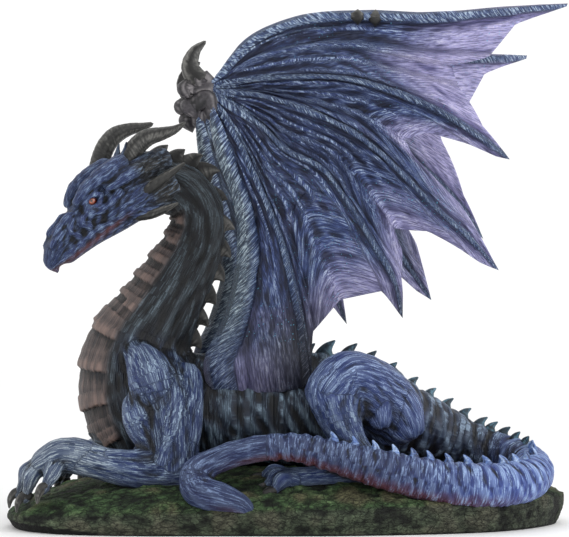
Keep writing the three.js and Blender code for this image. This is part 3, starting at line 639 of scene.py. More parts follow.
        # Painted shade near the ground also thins the dry brush.
        brush = brush * (1 - 0.45 * self.on_neck) * (1 - 0.5 * self.plate) * (1 - 0.4 * self.ground_shade)
        # Painted light from above: more of the light paint on faces turned up, less on faces turned down.
        brush = brush * (0.6 + 0.6 * ramp(self.normal[:, 2], -0.3, 0.8))
        wash = np.clip(np.where(self.on_leg, 0.42, 0.62) + 0.5 * self.swelling, 0.12, 0.85)
        return np.clip(brush, 0, 1), wash

    def grain(self):
        """Where the fine strokes run: along the limbs, or round the trunk and tail."""
        place = self.nearest * LIMB_SPACING
        around = np.stack([np.cos(self.angle), np.sin(self.angle)], 1) * self.reach[:, None]
        width = STROKE_WIDTH * np.where(self.on_leg, 0.72, 1.0)[:, None]
        lengthwise = np.concatenate([(self.along / STROKE_LENGTH + place)[:, None], around / width], 1)
        crosswise = np.concatenate([(self.along / STROKE_WIDTH + place)[:, None], around / STROKE_LENGTH], 1)
        return np.where(self.turned[:, None], crosswise, lengthwise)


def build_figure(material):
    """Two meshes, front and rear, that share their normals, so that no seam shows."""
    figure = Figure()
    surface = figure.surface
    colour, light = figure.colours()
    brush, wash = figure.brush()
    grain = figure.grain()
    middle = figure.x[surface.faces].mean(1)
    rear = middle > np.median(middle)
    halves = []
    for name, mine in (("dragon_front", ~rear), ("dragon_rear", rear)):
        used, faces = np.unique(surface.faces[mine], return_inverse=True)
        faces = faces.reshape(-1, 4)
        points, normals = surface.points[used], figure.normal[used]
        half = object_from(name, points, faces, colour[used], 0.42, material, normals)
        finish(half, grain[used], light[used], brush[used], wash[used])
        halves.append(half)
    return halves


# The head is drawn along its own axis: forward from the nape, to the right, and up.
NAPE = np.array([-63.6, -5.0, 161.9])
FORWARD = unit(np.array([-0.671, -0.395, -0.627]))
HIGH = unit(UP - FORWARD * FORWARD[2])
RIGHT = np.cross(FORWARD, HIGH)
SKULL = [
    [-4, 0, 0, 12, 10], [10, 0, 1.5, 13.6, 12], [23, 0, 3.8, 13, 11], [31, 0, 4.6, 11.6, 9],
    [40, 0, 4.4, 9.4, 7.4], [52, 0, 2.8, 7.0, 6.2], [60, 0, 1.6, 6.2, 5.4], [64, 0, 0, 4.4, 4],
]
JAW = [[8, 0, -7, 5, 8], [26, 0, -6.2, 4.2, 7], [42, 0, -4, 3.6, 5.8], [56, 0, -3.4, 3.2, 4.4]]
BEAK = [[60, 0, 1.5, 4, 4], [65, 0, -1, 3, 2.4], [65, 0, -5.5, 0.9, 0.9]]
HEAD_PAIRS = {
    "brow": [
        [40.5, 4.6, 14.2, 2], [36, 6.8, 16.6, 2.9], [30, 8.6, 17.8, 3.6], [22, 9.4, 18, 4.2],
        [12, 8.6, 17, 4.4],
    ],
    "temple_ridge": [[25, 11.4, 12.6, 2.2], [17, 12.6, 11.6, 3], [8, 12.4, 10.4, 3]],
    "cheek": [[10, 9.5, -1, 7, 4], [20, 9.5, 0, 6, 3.6], [30, 8.2, 0.5, 4.4, 2.8]],
    "under_eye": [[22, 11, 7, 2.2, 2], [30, 10.2, 5.4, 2, 1.8], [39, 7.6, 7, 1.9, 1.6]],
    "snout_ridge": [[42, 3.6, 12.4, 2], [49, 3.4, 11.4, 2], [56, 3.2, 9.4, 2.3]],
    "snout_fold": [[39, 7.8, 9.6, 1.4], [44, 7.4, 6.4, 1.6], [42, 8, 2.4, 1.4]],
    "snout_fold_front": [[46, 6, 9.6, 1.3], [50.5, 6.2, 6.4, 1.5], [49, 6.6, 2.4, 1.3]],
    "lip": [
        [28, 7.8, -3, 1.8, 1.8], [42, 6.8, -0.6, 1.8, 1.6], [54, 5.4, -1.4, 1.9, 1.6],
        [62, 3.2, -2, 1.6, 1.4],
    ],
    "nostril": [[54, 4.4, 7.6, 2.4], [60, 4, 5.6, 2.8]],
    "cheek_spine": [[12, 9.6, 0.5, 3.2, 2.8], [4, 14, 0.2, 2.4], [-3, 17, 0.4, 1.7], [-9, 19, 0.8, 0.7]],
    "jaw_spine": [[19, 8.5, -6, 3.2, 2.6], [12, 12, -10, 2.3], [3, 15.5, -12.4, 0.8]],
    "cheek_web": [[14, 9.5, -4, 5.2, 1.6], [6, 13, -5, 5.6, 1.3], [-3, 16.4, -5.6, 5, 0.8]],
    "small_horn": [[13, 3.6, 13, 2.4], [5, 4, 18.5, 1.7], [1, 4.4, 22, 0.7]],
    "temple": [[14, 8, 10, 5, 4], [2, 9, 8, 6, 4], [-8, 8, 5, 6, 4]],
}
HEAD_HOLLOWS = {
    "socket": [[29.5, 10.2, 11.4, 2.5], [36, 8, 11.6, 2.4]],
    "under_brow": [[41, 6.6, 11.6, 1.1], [36, 9, 14, 1.1], [29, 11.4, 14.6, 1.2], [21, 13.4, 14.2, 1.1]],
    "stop": [[44, 0, 15.6, 2], [43, 4, 14.4, 1.8], [41.4, 8, 10.6, 1.2]],
    "cheek_line": [[37, 9.6, 3.6, 0.9], [28, 12, 3.2, 1], [18, 13.8, 4.6, 1]],
    "mouth": [
        [24, 9.6, -5.4, 0.7], [36, 8.6, -3.2, 0.8], [48, 7.4, -3, 0.8], [58, 5.6, -3.6, 0.8],
        [64, 2, -4, 0.7],
    ],
    "nose_hole": [[59, 6.4, 6, 1.2], [61.5, 6, 5, 1.3]],
}
EYELIDS = {
    "upper": [[28.6, 9.6, 11.8, 1.1], [33.6, 8.9, 13.9, 1.4], [38.6, 6.4, 12, 1.1]],
    "lower": [[28.8, 9.8, 10.8, 1], [33.4, 9.2, 8.7, 1.2], [38.4, 6.8, 11, 1]],
}
EYE_AT, EYE_RADIUS = [33.6, 5.7, 11.4], 3.0
CHEEK_HORNS = [
    [[14, 9.5, -0.6, 2.6], [8, 12.8, 0, 2.8], [0, 16.8, 0, 2.2], [-9.5, 20.2, 0, 0.8]],
    [[20, 8, -8, 2.2], [15, 11.4, -10.4, 2.4], [9.5, 15, -12, 1.9], [4, 18.2, -13, 0.7]],
]
LEFT_HORN = [
    [-79, -10.5, 156, 5.4], [-76.5, -12, 164, 5], [-72.1, -14.5, 172.2, 4.5],
    [-68.5, -15.5, 177.2, 4.3], [-64, -16, 180.5, 3.9], [-57.4, -15.5, 182.4, 3],
    [-51.5, -14, 184.6, 1.9], [-46.9, -13, 187.8, 0.7],
]
RIGHT_HORN = [
    [-88.5, -1, 158, 5.2], [-88.5, 0, 166, 4.9], [-87.3, 1, 173.5, 4.5], [-85, 2, 179.2, 4.3],
    [-81, 4, 184.2, 4], [-74.5, 6.5, 187.4, 2.9], [-69, 8, 188.6, 2.1], [-64.4, 9, 190.2, 1.1],
]


def on_head(joint, side=1):
    forward, right, high, *radii = joint
    at = NAPE + FORWARD * forward + RIGHT * right * side + HIGH * high
    return [*at, *radii]


def head_limb(joints, side=1, blend=1.6):
    return Limb([on_head(j, side) for j in joints], HIGH, coat="head", blend=blend)


def build_head(material):
    limbs = [head_limb(SKULL, blend=4.0), head_limb(JAW, blend=3.0), head_limb(BEAK, blend=1.6)]
    for side in (-1, 1):
        limbs += [head_limb(joints, side) for joints in HEAD_PAIRS.values()]
    hollows = [head_limb(joints, side, 1.0) for joints in HEAD_HOLLOWS.values() for side in (-1, 1)]
    lids = [head_limb(joints, side, 0.6) for joints in EYELIDS.values() for side in (-1, 1)]
    surface = modelled("head", limbs, HEAD_CELL, margin=3.0, smooth=1, hollows=hollows, details=lids)
    nearest, along, angle, flow, paint = coated(surface, limbs, spread=1.2)
    local = surface.points - NAPE
    forward, right, high = local @ FORWARD, local @ RIGHT, local @ HIGH
    side = np.abs(right)
    normal = surface.normals()
    broad = surface.strokes(flow, 13, width=2, length=18)
    lumps = surface.strokes(flow, 14, width=3, length=4)
    relief = 0.6 * broad + 0.5 * lumps
    wrinkles = np.sin(1.05 * forward + 0.55 * high + 1.1 * np.sin(0.45 * high + 0.5 * side))
    wrinkles = wrinkles * ramp(side, 1.5, 4) * ramp(forward, 12, 36) * ramp(-forward, -60, -54)
    surface.points += normal * (0.1 * relief * ramp(side, 0.5, 3) + 0.2 * wrinkles)[:, None]
    surface.points = surface.spread(surface.points, times=1) * 0.4 + surface.points * 0.6
    hollow = surface.hollows(8) + 0.6 * surface.hollows(30)
    paint[1] = blend(paint[1], paint_of(38, 50, 116), 0.4 * ramp(-hollow, 0.0, 0.5) * ramp(forward, 4, 16))
    crest = 0.25 * relief + 0.35 * wrinkles + 0.3 * ramp(high, 4, 18)
    colour = brushed(paint, crest, np.clip(hollow * 1.8, -0.5, 1.8), 0.3)
    nape = ramp(-forward, -16, 4)
    colour = blend(colour, brushed(COATS["neck"], relief, hollow, 0.6), 0.75 * nape)
    web = ramp(side, 10.5, 13) * ramp(-forward, -13, -6)
    colour = blend(colour, brushed(HORN_COAT, relief, hollow, 0.7) * 0.75, web)
    lips = ramp(-high, 1.0, 3.6) * ramp(forward, 20, 40) * ramp(-high, 8, 5.5)
    at_mouth = ramp(-np.abs(high + 4.2), -1.8, -0.4) * ramp(forward, 18, 34)
    colour = blend(colour, paint_of(128, 74, 74), 0.5 * at_mouth)
    colour = blend(colour, paint_of(96, 66, 72), 0.3 * lips)
    reach = np.array([limb.radii.mean() for limb in limbs])[nearest]
    around = np.stack([np.cos(angle), np.sin(angle)], 1) * reach[:, None]
    grain = np.concatenate([(along / 2.2 + nearest * LIMB_SPACING)[:, None], around / 0.3], 1)
    brush = np.clip(0.34 + 0.1 * relief + 0.1 * wrinkles - 0.9 * hollow, 0.02, 1) * (1 - 0.2 * nape)
    obj = object_from("dragon_head", surface.points, surface.faces, colour, 0.42, material)
    finish(obj, grain, paint[2], brush, 0.5)
    return obj


def closed_rings(rows, sides, start=0):
    """The four-sided faces between rings of points, and the ones that join each end ring to its pole."""
    index = np.arange(rows * sides).reshape(rows, sides) + start
    nxt = np.roll(index, -1, axis=1)
    quads = np.stack([index[:-1], nxt[:-1], nxt[1:], index[1:]], -1).reshape(-1, 4)
    first, last = start + rows * sides, start + rows * sides + 1
    ends = [np.array([first, b, a]) for a, b in zip(index[0], nxt[0])]
    ends += [np.array([last, a, b]) for a, b in zip(index[-1], nxt[-1])]
    return quads, ends


class Trims:
    """Many small closed tubes, such as spikes and claws, that make one mesh."""

    def __init__(self):
        self.points, self.faces, self.colours = [], [], []
        self.count = 0

    def add(self, joints, up=UP, sides=14, steps=8, coat=HORN_COAT, ring=0.0, seed=0):
        limb = Limb(joints, up, steps=steps)
        rows = len(limb.centre)
        rng = np.random.default_rng(seed)
        angle = 2 * np.pi * np.arange(sides) / sides
        share = limb.along / limb.along[-1]
        swell = 1.0 + ring * np.sin(limb.along * 2.4 + 0.4 * rng.standard_normal(rows))
        swell = swell[:, None] * (1.0 + 0.06 * rng.standard_normal((1, sides)))
        across = np.cos(angle)[None, :, None] * limb.side[:, None] * (limb.radii[:, 1:] * swell)[..., None]
        along = np.sin(angle)[None, :, None] * limb.up[:, None] * (limb.radii[:, :1] * swell)[..., None]
        p = limb.centre[:, None] + across + along
        foot = limb.centre[0] - limb.tangent[0] * limb.radii[0].min()
        point = limb.centre[-1] + limb.tangent[-1] * limb.radii[-1].min()
        poles = np.stack([foot, point])
        quads, ends = closed_rings(rows, sides, self.count)
        self.faces += [*quads, *ends]
        streak = np.repeat(rng.standard_normal((1, sides)), rows, 0)
        streak = streak + 0.5 * rng.standard_normal((rows, sides))
        dark, flesh, light = coat
        colour = blend(dark, flesh, ramp(streak + 1.6 * share[:, None] - 0.4, -1.2, 0.8))
        colour = blend(colour, light, 0.75 * ramp(streak + 1.2 * share[:, None], 0.9, 2.4))
        colour *= (0.45 + 0.55 * ramp(share, 0.0, 0.3))[:, None, None]
        self.points.append(np.vstack([p.reshape(-1, 3), poles]))
        self.colours.append(np.vstack([colour.reshape(-1, 3), colour[0].mean(0), colour[-1].mean(0)]))
        self.count += rows * sides + 2

    def made(self, name, material, gloss):
        return object_from(name, np.vstack(self.points), self.faces, np.vstack(self.colours), gloss, material)


def spike(trims, foot, out, lean, height, length, thickness, coat, seed, curl=0.5):
    """A horny spike that stands on foot, rises along out and curls towards lean."""
    middle = foot + out * height * 0.55 + lean * height * curl * 0.25
    end = foot + out * height + lean * height * curl
    joints = [
        [*(foot - out * 2.0), length * 0.55, thickness * 0.6],
        [*(foot + out * height * 0.12), length * 0.44, thickness * 0.5],
        [*middle, length * 0.25, thickness * 0.36],
        [*end, 0.45, 0.4],
    ]
    trims.add(joints, lean, sides=12, steps=5, coat=coat, seed=seed)


NECK_SPIKE_TIPS = [
    [-55.2, -4, 178.2], [-47.2, -3, 176.2], [-38.9, -2, 173.7], [-30.8, -1, 165.9], [-27.4, 0, 152.5],
    [-23.9, 0, 138.2], [-25.8, 0, 124.8], [-29, 0, 113.3], [-33.1, 0, 102.3], [-36.6, 0, 91.8],
    [-40, 0, 81.5],
]
BACK_SPIKES = [
    [-34, 77, 6], [-18, 78.5, 6], [-2, 79, 6], [10, 79, 6], [19, 79.5, 7], [29.5, 78, 7], [39, 75, 6.5],
    [49, 70, 6],
]
TAIL_SPIKES = 24
RUMP_COAT = (paint_of(10, 18, 24), paint_of(30, 52, 66), paint_of(96, 140, 160))
TAIL_COAT = (paint_of(24, 34, 66), paint_of(84, 112, 168), paint_of(176, 198, 228))


def build_trims(material):
    trims = Trims()
    for horn, seed in ((LEFT_HORN, 1), (RIGHT_HORN, 2)):
        trims.add(horn, HIGH, sides=20, steps=9, ring=0.012, seed=seed)
    for i, joints in enumerate(CHEEK_HORNS):
        for side in (-1, 1):
            trims.add([on_head(j, side) for j in joints], HIGH, sides=16, steps=7, ring=0.02, seed=4 + i)
    for i, (_, knuckle, tip) in enumerate(TOES):
        tip, knuckle = np.array(tip, float), np.array(knuckle, float)
        out = unit((tip - knuckle) * [1, 1, 0]) * CLAW_REACH
        joints = [
            [*(tip - out * 0.35 + UP * 1.4), 2.3],
            [*(tip + out * 0.2 + UP * 1.2), 2.2],
            [*(tip + out * 0.62 - UP * 1.6), 1.6],
            [*(tip + out * 0.72 - UP * CLAW_REACH), 0.5],
        ]
        trims.add(joints, sides=12, steps=5, seed=30 + i)
    tips = np.array(NECK_SPIKE_TIPS, float)
    for i, (tip, down) in enumerate(zip(tips, unit(np.gradient(tips, axis=0)))):
        out = unit(np.cross(down, ACROSS))
        foot = tip - out * 6.4 - down * 3.0
        spike(trims, foot, out, down, 6.4, 12.5, 5.0, HORN_COAT, 50 + i, curl=0.4)
    out, lean = unit(np.array([0.12, 0, 1.0])), unit(np.array([1.0, 0, -0.15]))
    for i, (x, z, height) in enumerate(BACK_SPIKES):
        foot = np.array([x, 0.0, z - 1.5])
        coat = RUMP_COAT if x > 0 else HORN_COAT
        spike(trims, foot, out, lean, height + 1, 9.5, 4.4, coat, 70 + i)
    tail = Limb(TAIL, UP, steps=10)
    shares = np.arange(len(tail.centre)) / (len(tail.centre) - 1)
    for i in range(TAIL_SPIKES):
        k = int(np.searchsorted(shares, 0.045 + 0.55 * i / (TAIL_SPIKES - 1)))
        size = 1.0 - 0.35 * i / TAIL_SPIKES
        foot = tail.centre[k] + tail.up[k] * (tail.radii[k, 0] - 1.0)
        coat = TAIL_COAT if i > 8 else RUMP_COAT
        spike(trims, foot, tail.up[k], tail.tangent[k], 5.4 * size, 7.6 * size, 4.6, coat, 90 + i, curl=0.5)
    return trims.made("horns_spikes_and_claws", material, 0.42)


def build_eyes(material):
    """Two eyes, each a ball with a dark slit pupil, made from rings round its own outward axis."""
    points, faces, colours = [], [], []
    rows, sides = 16, 28
    for side in (-1, 1):
        centre = np.array(on_head(EYE_AT, side)[:3])
        out = unit(RIGHT * side * 0.94 + FORWARD * 0.3 + HIGH * 0.12)
        high = unit(HIGH - out * (HIGH @ out))
        wide = np.cross(out, high)
        polar = np.pi * (np.arange(rows) + 0.5) / rows
        turn = 2 * np.pi * np.arange(sides) / sides
        off_axis = np.sin(polar)[:, None]
        on_axis = np.repeat(np.cos(polar)[:, None], sides, 1)
        local = np.stack([off_axis * np.cos(turn), off_axis * np.sin(turn), on_axis], -1).reshape(-1, 3)
        p = centre + EYE_RADIUS * (local[:, :1] * wide + local[:, 1:2] * high + local[:, 2:] * out)
        quads, ends = closed_rings(rows, sides, len(points) * (rows * sides + 2))
        faces += [face[::-1] for face in (*quads, *ends)]
        off = np.hypot(local[:, 0], local[:, 1])
        front = local[:, 2] > 0
        colour = blend(paint_of(150, 74, 40), paint_of(84, 26, 16), ramp(off, 0.3, 0.6))
        pupil = front * ramp(-np.hypot(local[:, 0] * 2.2, local[:, 1]), -0.36, -0.26)
        colour = blend(colour, paint_of(8, 6, 6), pupil)
        ends = np.stack([centre + out * EYE_RADIUS, centre - out * EYE_RADIUS])
        points.append(np.vstack([p, ends]))
        colours.append(np.vstack([colour, paint_of(8, 6, 6), paint_of(60, 20, 12)]))
    return object_from("eyes", np.vstack(points), faces, np.vstack(colours), 0.12, material)


# The wings: bones and folds spread from the wrist, each [x, outward, z]. The last two are the fold
# that ends at the membrane's rear foot, and the arm along the leading edge.
LEFT_WING = {
    "side": -1,
    "lines": [
        [
            [-34, 38, 202], [-14, 42, 220.5], [7, 45, 228.5], [33, 48, 230.5], [65, 52, 229],
            [96, 57, 231], [125, 62, 233],
        ],
        [
            [-34, 38, 200.5], [-6, 44, 203.5], [25, 50, 203], [45.5, 53, 197.5], [69, 56, 187],
            [84.5, 59, 176.5], [99.5, 61, 165],
        ],
        [
            [-34, 38, 199.5], [-10.5, 44, 196], [16.5, 50, 186], [36.5, 54, 174], [52.5, 57, 159],
            [68.5, 59, 142], [80, 60, 132], [94.5, 60, 116],
        ],
        [
            [-33, 38, 198.5], [-12, 42, 184], [1, 46, 171], [16.5, 50, 162.5], [28.5, 53, 146.5],
            [40, 55, 127.5], [48.5, 55, 112.5], [52.5, 54, 95],
        ],
        [[-33, 38, 195], [-22, 38, 179], [-10, 38, 153.5], [0, 36, 126.5], [7, 31, 99], [12.5, 22, 65]],
        [
            [-35.5, 38, 196], [-27.5, 33, 168], [-20.5, 30, 150], [-17.5, 27, 131.5], [-18, 25, 113],
            [-22.5, 24, 95], [-30, 22, 75.5], [-28, 20, 62],
        ],
    ],
    "claw": [[-39, 38, 203], [-43, 38, 210], [-41, 38, 217], [-36.5, 38, 221.5]],
    "knuckles": [[-43.5, 38, 200], [-42, 38, 192]],
    "knobs": [[33, 50, 233], [41, 50, 232.2]],
}
RIGHT_WING = {
    "side": 1,
    "lines": [
        [
            [-41, 38, 207], [-22.5, 42, 221], [3, 46, 229], [38.5, 50, 231], [74.5, 54, 230],
            [100.5, 58, 230.5], [125, 62, 231.5],
        ],
        [[-41, 38, 206], [-7.5, 44, 207], [28, 50, 200.5], [59, 55, 183], [82.5, 59, 163], [102, 60, 138]],
        [[-41, 38, 204], [-12.5, 44, 194.5], [18, 50, 175], [41, 54, 152], [59, 57, 129.5], [75, 58, 106.5]],
        [[-40.5, 38, 202], [-22.5, 42, 184], [-5, 46, 162], [10.5, 49, 139], [22, 50, 116.5], [31.5, 50, 94]],
        [[-40, 37, 200], [-29.5, 36, 176], [-17, 34, 145.5], [-7, 31, 115.5], [3, 28, 91], [10, 22, 67]],
        [
            [-44, 36, 201], [-39.5, 32, 175.5], [-31, 28, 140], [-26, 26, 115.5], [-30.5, 24, 95.5],
            [-37, 22, 78.5], [-34, 20, 66],
        ],
    ],
    "claw": [[-46, 38, 208], [-50, 38, 214], [-48, 38, 221], [-43, 38, 225]],
    "knuckles": [[-50, 38, 203], [-48, 38, 196]],
    "knobs": [[30, 49, 232.5], [38, 50, 232.5]],
}
WING_THICKNESS = 3.2
FINGER_RADIUS = 3.1
BONE_SHARES = np.array([1, 0.95, 0.95, 0.9, 0.6, 1.2])
SAG = np.array([4.5, 6, 6, 5, 2.5])
# Along the membrane's edge: share of the way across a stretch, and share of the bones' reach
EDGES = [
    [[0, 1], [0.05, 0.93], [0.1, 0.88], [0.37, 0.837], [0.5, 0.739], [0.68, 0.772], [0.91, 0.885], [1, 1]],
    [[0, 1], [0.06, 0.95], [0.13, 0.85], [0.27, 0.71], [0.52, 0.627], [0.64, 0.66], [0.74, 0.835], [1, 1]],
    [[0, 1], [0.09, 0.955], [0.16, 0.895], [0.29, 0.8], [0.62, 0.738], [0.72, 0.81], [0.9, 0.872], [1, 1]],
    [[0, 1], [0.07, 0.94], [0.14, 0.88], [0.54, 0.814], [0.9, 0.842], [0.95, 0.9], [1, 1]],
    [[0, 1], [1, 1]],
]
LESSER_RIDGES = np.array([4, 4, 5, 5, 4])
LESSER_HEIGHT = 1.0
DRAPE_HEIGHT = 0.6
DRAPES = 10
DRAPE_BOW = 0.2

WING_PAINT = {
    "deep": (paint_of(18, 25, 54), paint_of(58, 76, 130), paint_of(180, 200, 228)),
    "far": (paint_of(28, 36, 52), paint_of(74, 92, 122), paint_of(182, 200, 216)),
    "edge": (paint_of(92, 90, 138), paint_of(168, 164, 212), paint_of(232, 224, 242)),
    "bone": (paint_of(18, 25, 46), paint_of(66, 86, 128), paint_of(190, 210, 228)),
    "foot": (paint_of(10, 11, 16), paint_of(40, 45, 60), paint_of(132, 138, 154)),
    "leading": (paint_of(20, 26, 30), paint_of(74, 88, 100), paint_of(184, 200, 206)),
}


def evenly(points, count, side):
    """A bone's line as points at even lengths along it."""
    line = curve_through([[x, y * side, z] for x, y, z in points], 14)
    step = np.concatenate([[0], np.cumsum(np.linalg.norm(np.diff(line, axis=0), axis=1))])
    where = np.linspace(0, step[-1], count)
    return np.stack([np.interp(where, step, line[:, k]) for k in range(3)], 1)


def wing_grid(shape):
    """The middle of the wing as columns from the wrist to the edge, with their places on it."""
    side = shape["side"]
    dense = 500
    lines = np.stack([evenly(points, dense, side) for points in shape["lines"]])
    stretches = len(lines) - 1
    per = 46 if FINE else 24
    rows = 172 if FINE else 84
    even = np.linspace(0, 1, per, endpoint=False)
    drawn = even - 0.35 * np.sin(2 * np.pi * even) / (2 * np.pi)
    stretch = np.concatenate([[0, 0], np.repeat(np.arange(stretches), per), [stretches - 1] * 3])
    share = np.concatenate([[0, 0], np.tile(drawn, stretches), [1, 1, 1]])
    beyond = np.concatenate([[-1, -0.55], np.zeros(per * stretches + 1), [0.55, 1]])
    v = np.linspace(0.0, 1.0, rows) ** 0.97
    line = np.where(share > 0.5, stretch + 1, stretch)
    at = np.clip((v * (dense - 1)).astype(int), 0, dense - 1)
    width = np.linalg.norm(lines[stretch][:, at] - lines[stretch + 1][:, at], axis=-1)
    radius = bone_radius(line[:, None], v[None])
    across = share[:, None] + beyond[:, None] * np.minimum(0.3, 1.3 * radius / np.maximum(width, 1.0))
    edge = np.ones_like(across)
    for k, table in enumerate(EDGES):
        mine = stretch == k
        at_edge, reach_there = np.array(table, float).T
        edge[mine] = np.interp(np.clip(across[mine], 0, 1), at_edge, reach_there)
    reach = v * edge
    spot = reach * (dense - 1)
    low = np.clip(spot.astype(int), 0, dense - 2)
    number = np.arange(len(stretch))[:, None]
    here = blend(lines[stretch][number, low], lines[stretch][number, low + 1], spot - low)
    there = blend(lines[stretch + 1][number, low], lines[stretch + 1][number, low + 1], spot - low)
    length = np.linalg.norm(np.diff(lines[stretch], axis=1), axis=-1).sum(1)[:, None]
    middle = blend(here, there, across)
    return middle, stretch[:, None], across, reach, v[None], np.abs(beyond)[:, None], length


def bone_radius(line, reach):
    taper = np.where(line < 4, 1 - 0.6 * reach**5, 1 + 0.6 * reach)
    return FINGER_RADIUS * BONE_SHARES[line] * taper


class Wing:
    """One wing: rows of points run out from the wrist, in columns from the first bone to the last."""

    def __init__(self, shape, seed):
        self.side, self.seed = shape["side"], seed
        grid = wing_grid(shape)
        self.middle, self.stretch, self.across, self.reach, self.v, self.beyond, self.length = grid
        self.inside = np.clip(self.across, 0, 1)
        self.hump = np.sin(np.pi * self.inside)
        open_out = np.clip(self.reach * 2.2, 0, 1)
        self.middle[..., 1] -= self.side * SAG[self.stretch] * self.hump * open_out
        self.raise_bones()
        self.fold()
        self.surface = Surface(*self.skin())
        self.carve()

    def raise_bones(self):
        """Round bones along the lines, with a valley beside each."""
        reach, stretch, across = self.reach, self.stretch, self.across
        width = np.linalg.norm(np.gradient(self.middle, axis=0), axis=-1)
        self.gap = np.clip(width / np.maximum(np.gradient(across, axis=0), 1e-4), 0.5, 80)
        self.off = np.where(across < 0.5, across, across - 1)
        self.line = line = np.where(across < 0.5, stretch, stretch + 1)
        uneven = 1 + 0.09 * np.sin(reach * 17 + 2 * line + self.seed) + 0.05 * np.sin(reach * 41 + line)
        slim = np.where(line < 4, 0.8 + 0.2 * ramp(reach, 0.0, 0.4), 1.0)
        self.bone = bone_radius(line, reach) * uneven * slim
        self.ratio = np.abs(self.off) * self.gap / np.maximum(self.bone * 1.25, 0.2)
        self.tube = np.sqrt(np.clip(1 - self.ratio**2, 0, 1))
        self.valley = ramp(self.ratio, 0.75, 1.15) * ramp(-self.ratio, -3.2, -1.3)

    def fold(self):
        """Lesser ridges from the wrist, and bowed folds between the bones further out."""
        reach, inside, hump, seed = self.reach, self.inside, self.hump, self.seed
        wander = 0.09 * np.sin(5.0 * reach + 2.1 * self.stretch + seed) + 0.05 * np.sin(13.0 * reach + seed)
        phase = LESSER_RIDGES[self.stretch] * (inside + wander * hump) + 0.5
        fade = ramp(reach, 0.04, 0.2) * (1 - 0.65 * ramp(reach, 0.42, 0.7))
        self.lesser = (1 - 2 * np.abs(np.sin(np.pi * phase)) ** 1.3) * ramp(self.ratio, 0.9, 1.9) * fade
        self.draped = np.isin(self.stretch, (1, 2, 3))
        self.bowed = reach - DRAPE_BOW * (2 * inside - 1) ** 2 + 0.012 * np.sin(9 * inside + seed)
        drape = np.sin(2 * np.pi * DRAPES * self.bowed)
        drape = np.sign(drape) * np.abs(drape) ** 0.8 * hump**0.6 * ramp(reach, 0.3, 0.55)
        self.drape = drape * np.where(self.draped, 1.0, 0.25) * ramp(self.ratio, 1.0, 1.8)
        ridges = LESSER_HEIGHT * self.lesser + DRAPE_HEIGHT * self.drape
        self.relief = ridges - 0.9 * self.valley * (1 - 0.5 * ramp(reach, 0.7, 1.0))

    def sides(self):
        """The outer and the inner side, thicker at the bones and at the foot by the flank."""
        v, reach, hump = self.v, self.reach, self.hump
        foot = (self.stretch == 4) * ramp(v, 0.7, 0.93) * (0.35 + 0.65 * hump**0.7)
        foot = foot + (self.stretch == 3) * ramp(self.inside, 0.82, 1.0) * ramp(v, 0.78, 0.95) * 0.4
        foot_end = np.sqrt(np.clip(1 - (np.maximum(v - 0.9, 0) / 0.101) ** 2, 0.03, 1))
        tip = np.sqrt(np.clip(1 - (np.maximum(v - 0.965, 0) / 0.036) ** 2, 0.02, 1))
        half = WING_THICKNESS / 2 * (1 - 0.4 * reach) * (1 - 0.55 * ramp(v, 0.82, 1.0))
        half = np.maximum(half + 0.3 * self.relief, 0.4)
        half = np.maximum(half, self.bone * self.tube)
        half = np.maximum(half, 6.0 * foot)
        half = half * np.where(foot > 0.05, np.minimum(foot_end, 1.0), tip)
        self.half = np.where(self.beyond > 0.9, 0.35, half)
        shared = 0.6 * self.relief * (1 - self.tube) * (1 - 0.6 * foot)
        outer, inner = self.middle.copy(), self.middle.copy()
        outer[..., 1] += self.side * (self.half + shared)
        inner[..., 1] -= self.side * (self.half - shared)
        bulge = 3.0 * hump * ramp(v, 0.86, 1.0) * (self.stretch == 4)
        outer[..., 2] -= bulge
        inner[..., 2] -= bulge
        return outer, inner

    def skin(self):
        """Points and faces of both sides, closed by a wall round the edge."""
        columns, rows = self.across.shape
        points = np.vstack([face.reshape(-1, 3) for face in self.sides()])
        index = np.arange(columns * rows).reshape(columns, rows)
        near = np.stack([index[:-1, :-1], index[1:, :-1], index[1:, 1:], index[:-1, 1:]], -1).reshape(-1, 4)
        back = index + columns * rows
        far = np.stack([back[:-1, :-1], back[:-1, 1:], back[1:, 1:], back[1:, :-1]], -1).reshape(-1, 4)
        loop = np.concatenate([index[:, 0], index[-1, 1:], index[-2::-1, -1], index[0, -2:0:-1]])
        under = loop + columns * rows
        wall = np.stack([loop, under, np.roll(under, -1), np.roll(loop, -1)], -1)
        faces = np.vstack([near, far, wall])
        return points, faces[:, ::-1] if self.side > 0 else faces

    def both(self, values):
        """Values on the grid, repeated for the outer and the inner side."""
        values = np.broadcast_to(values, self.across.shape).ravel()
        return np.concatenate([values, values])

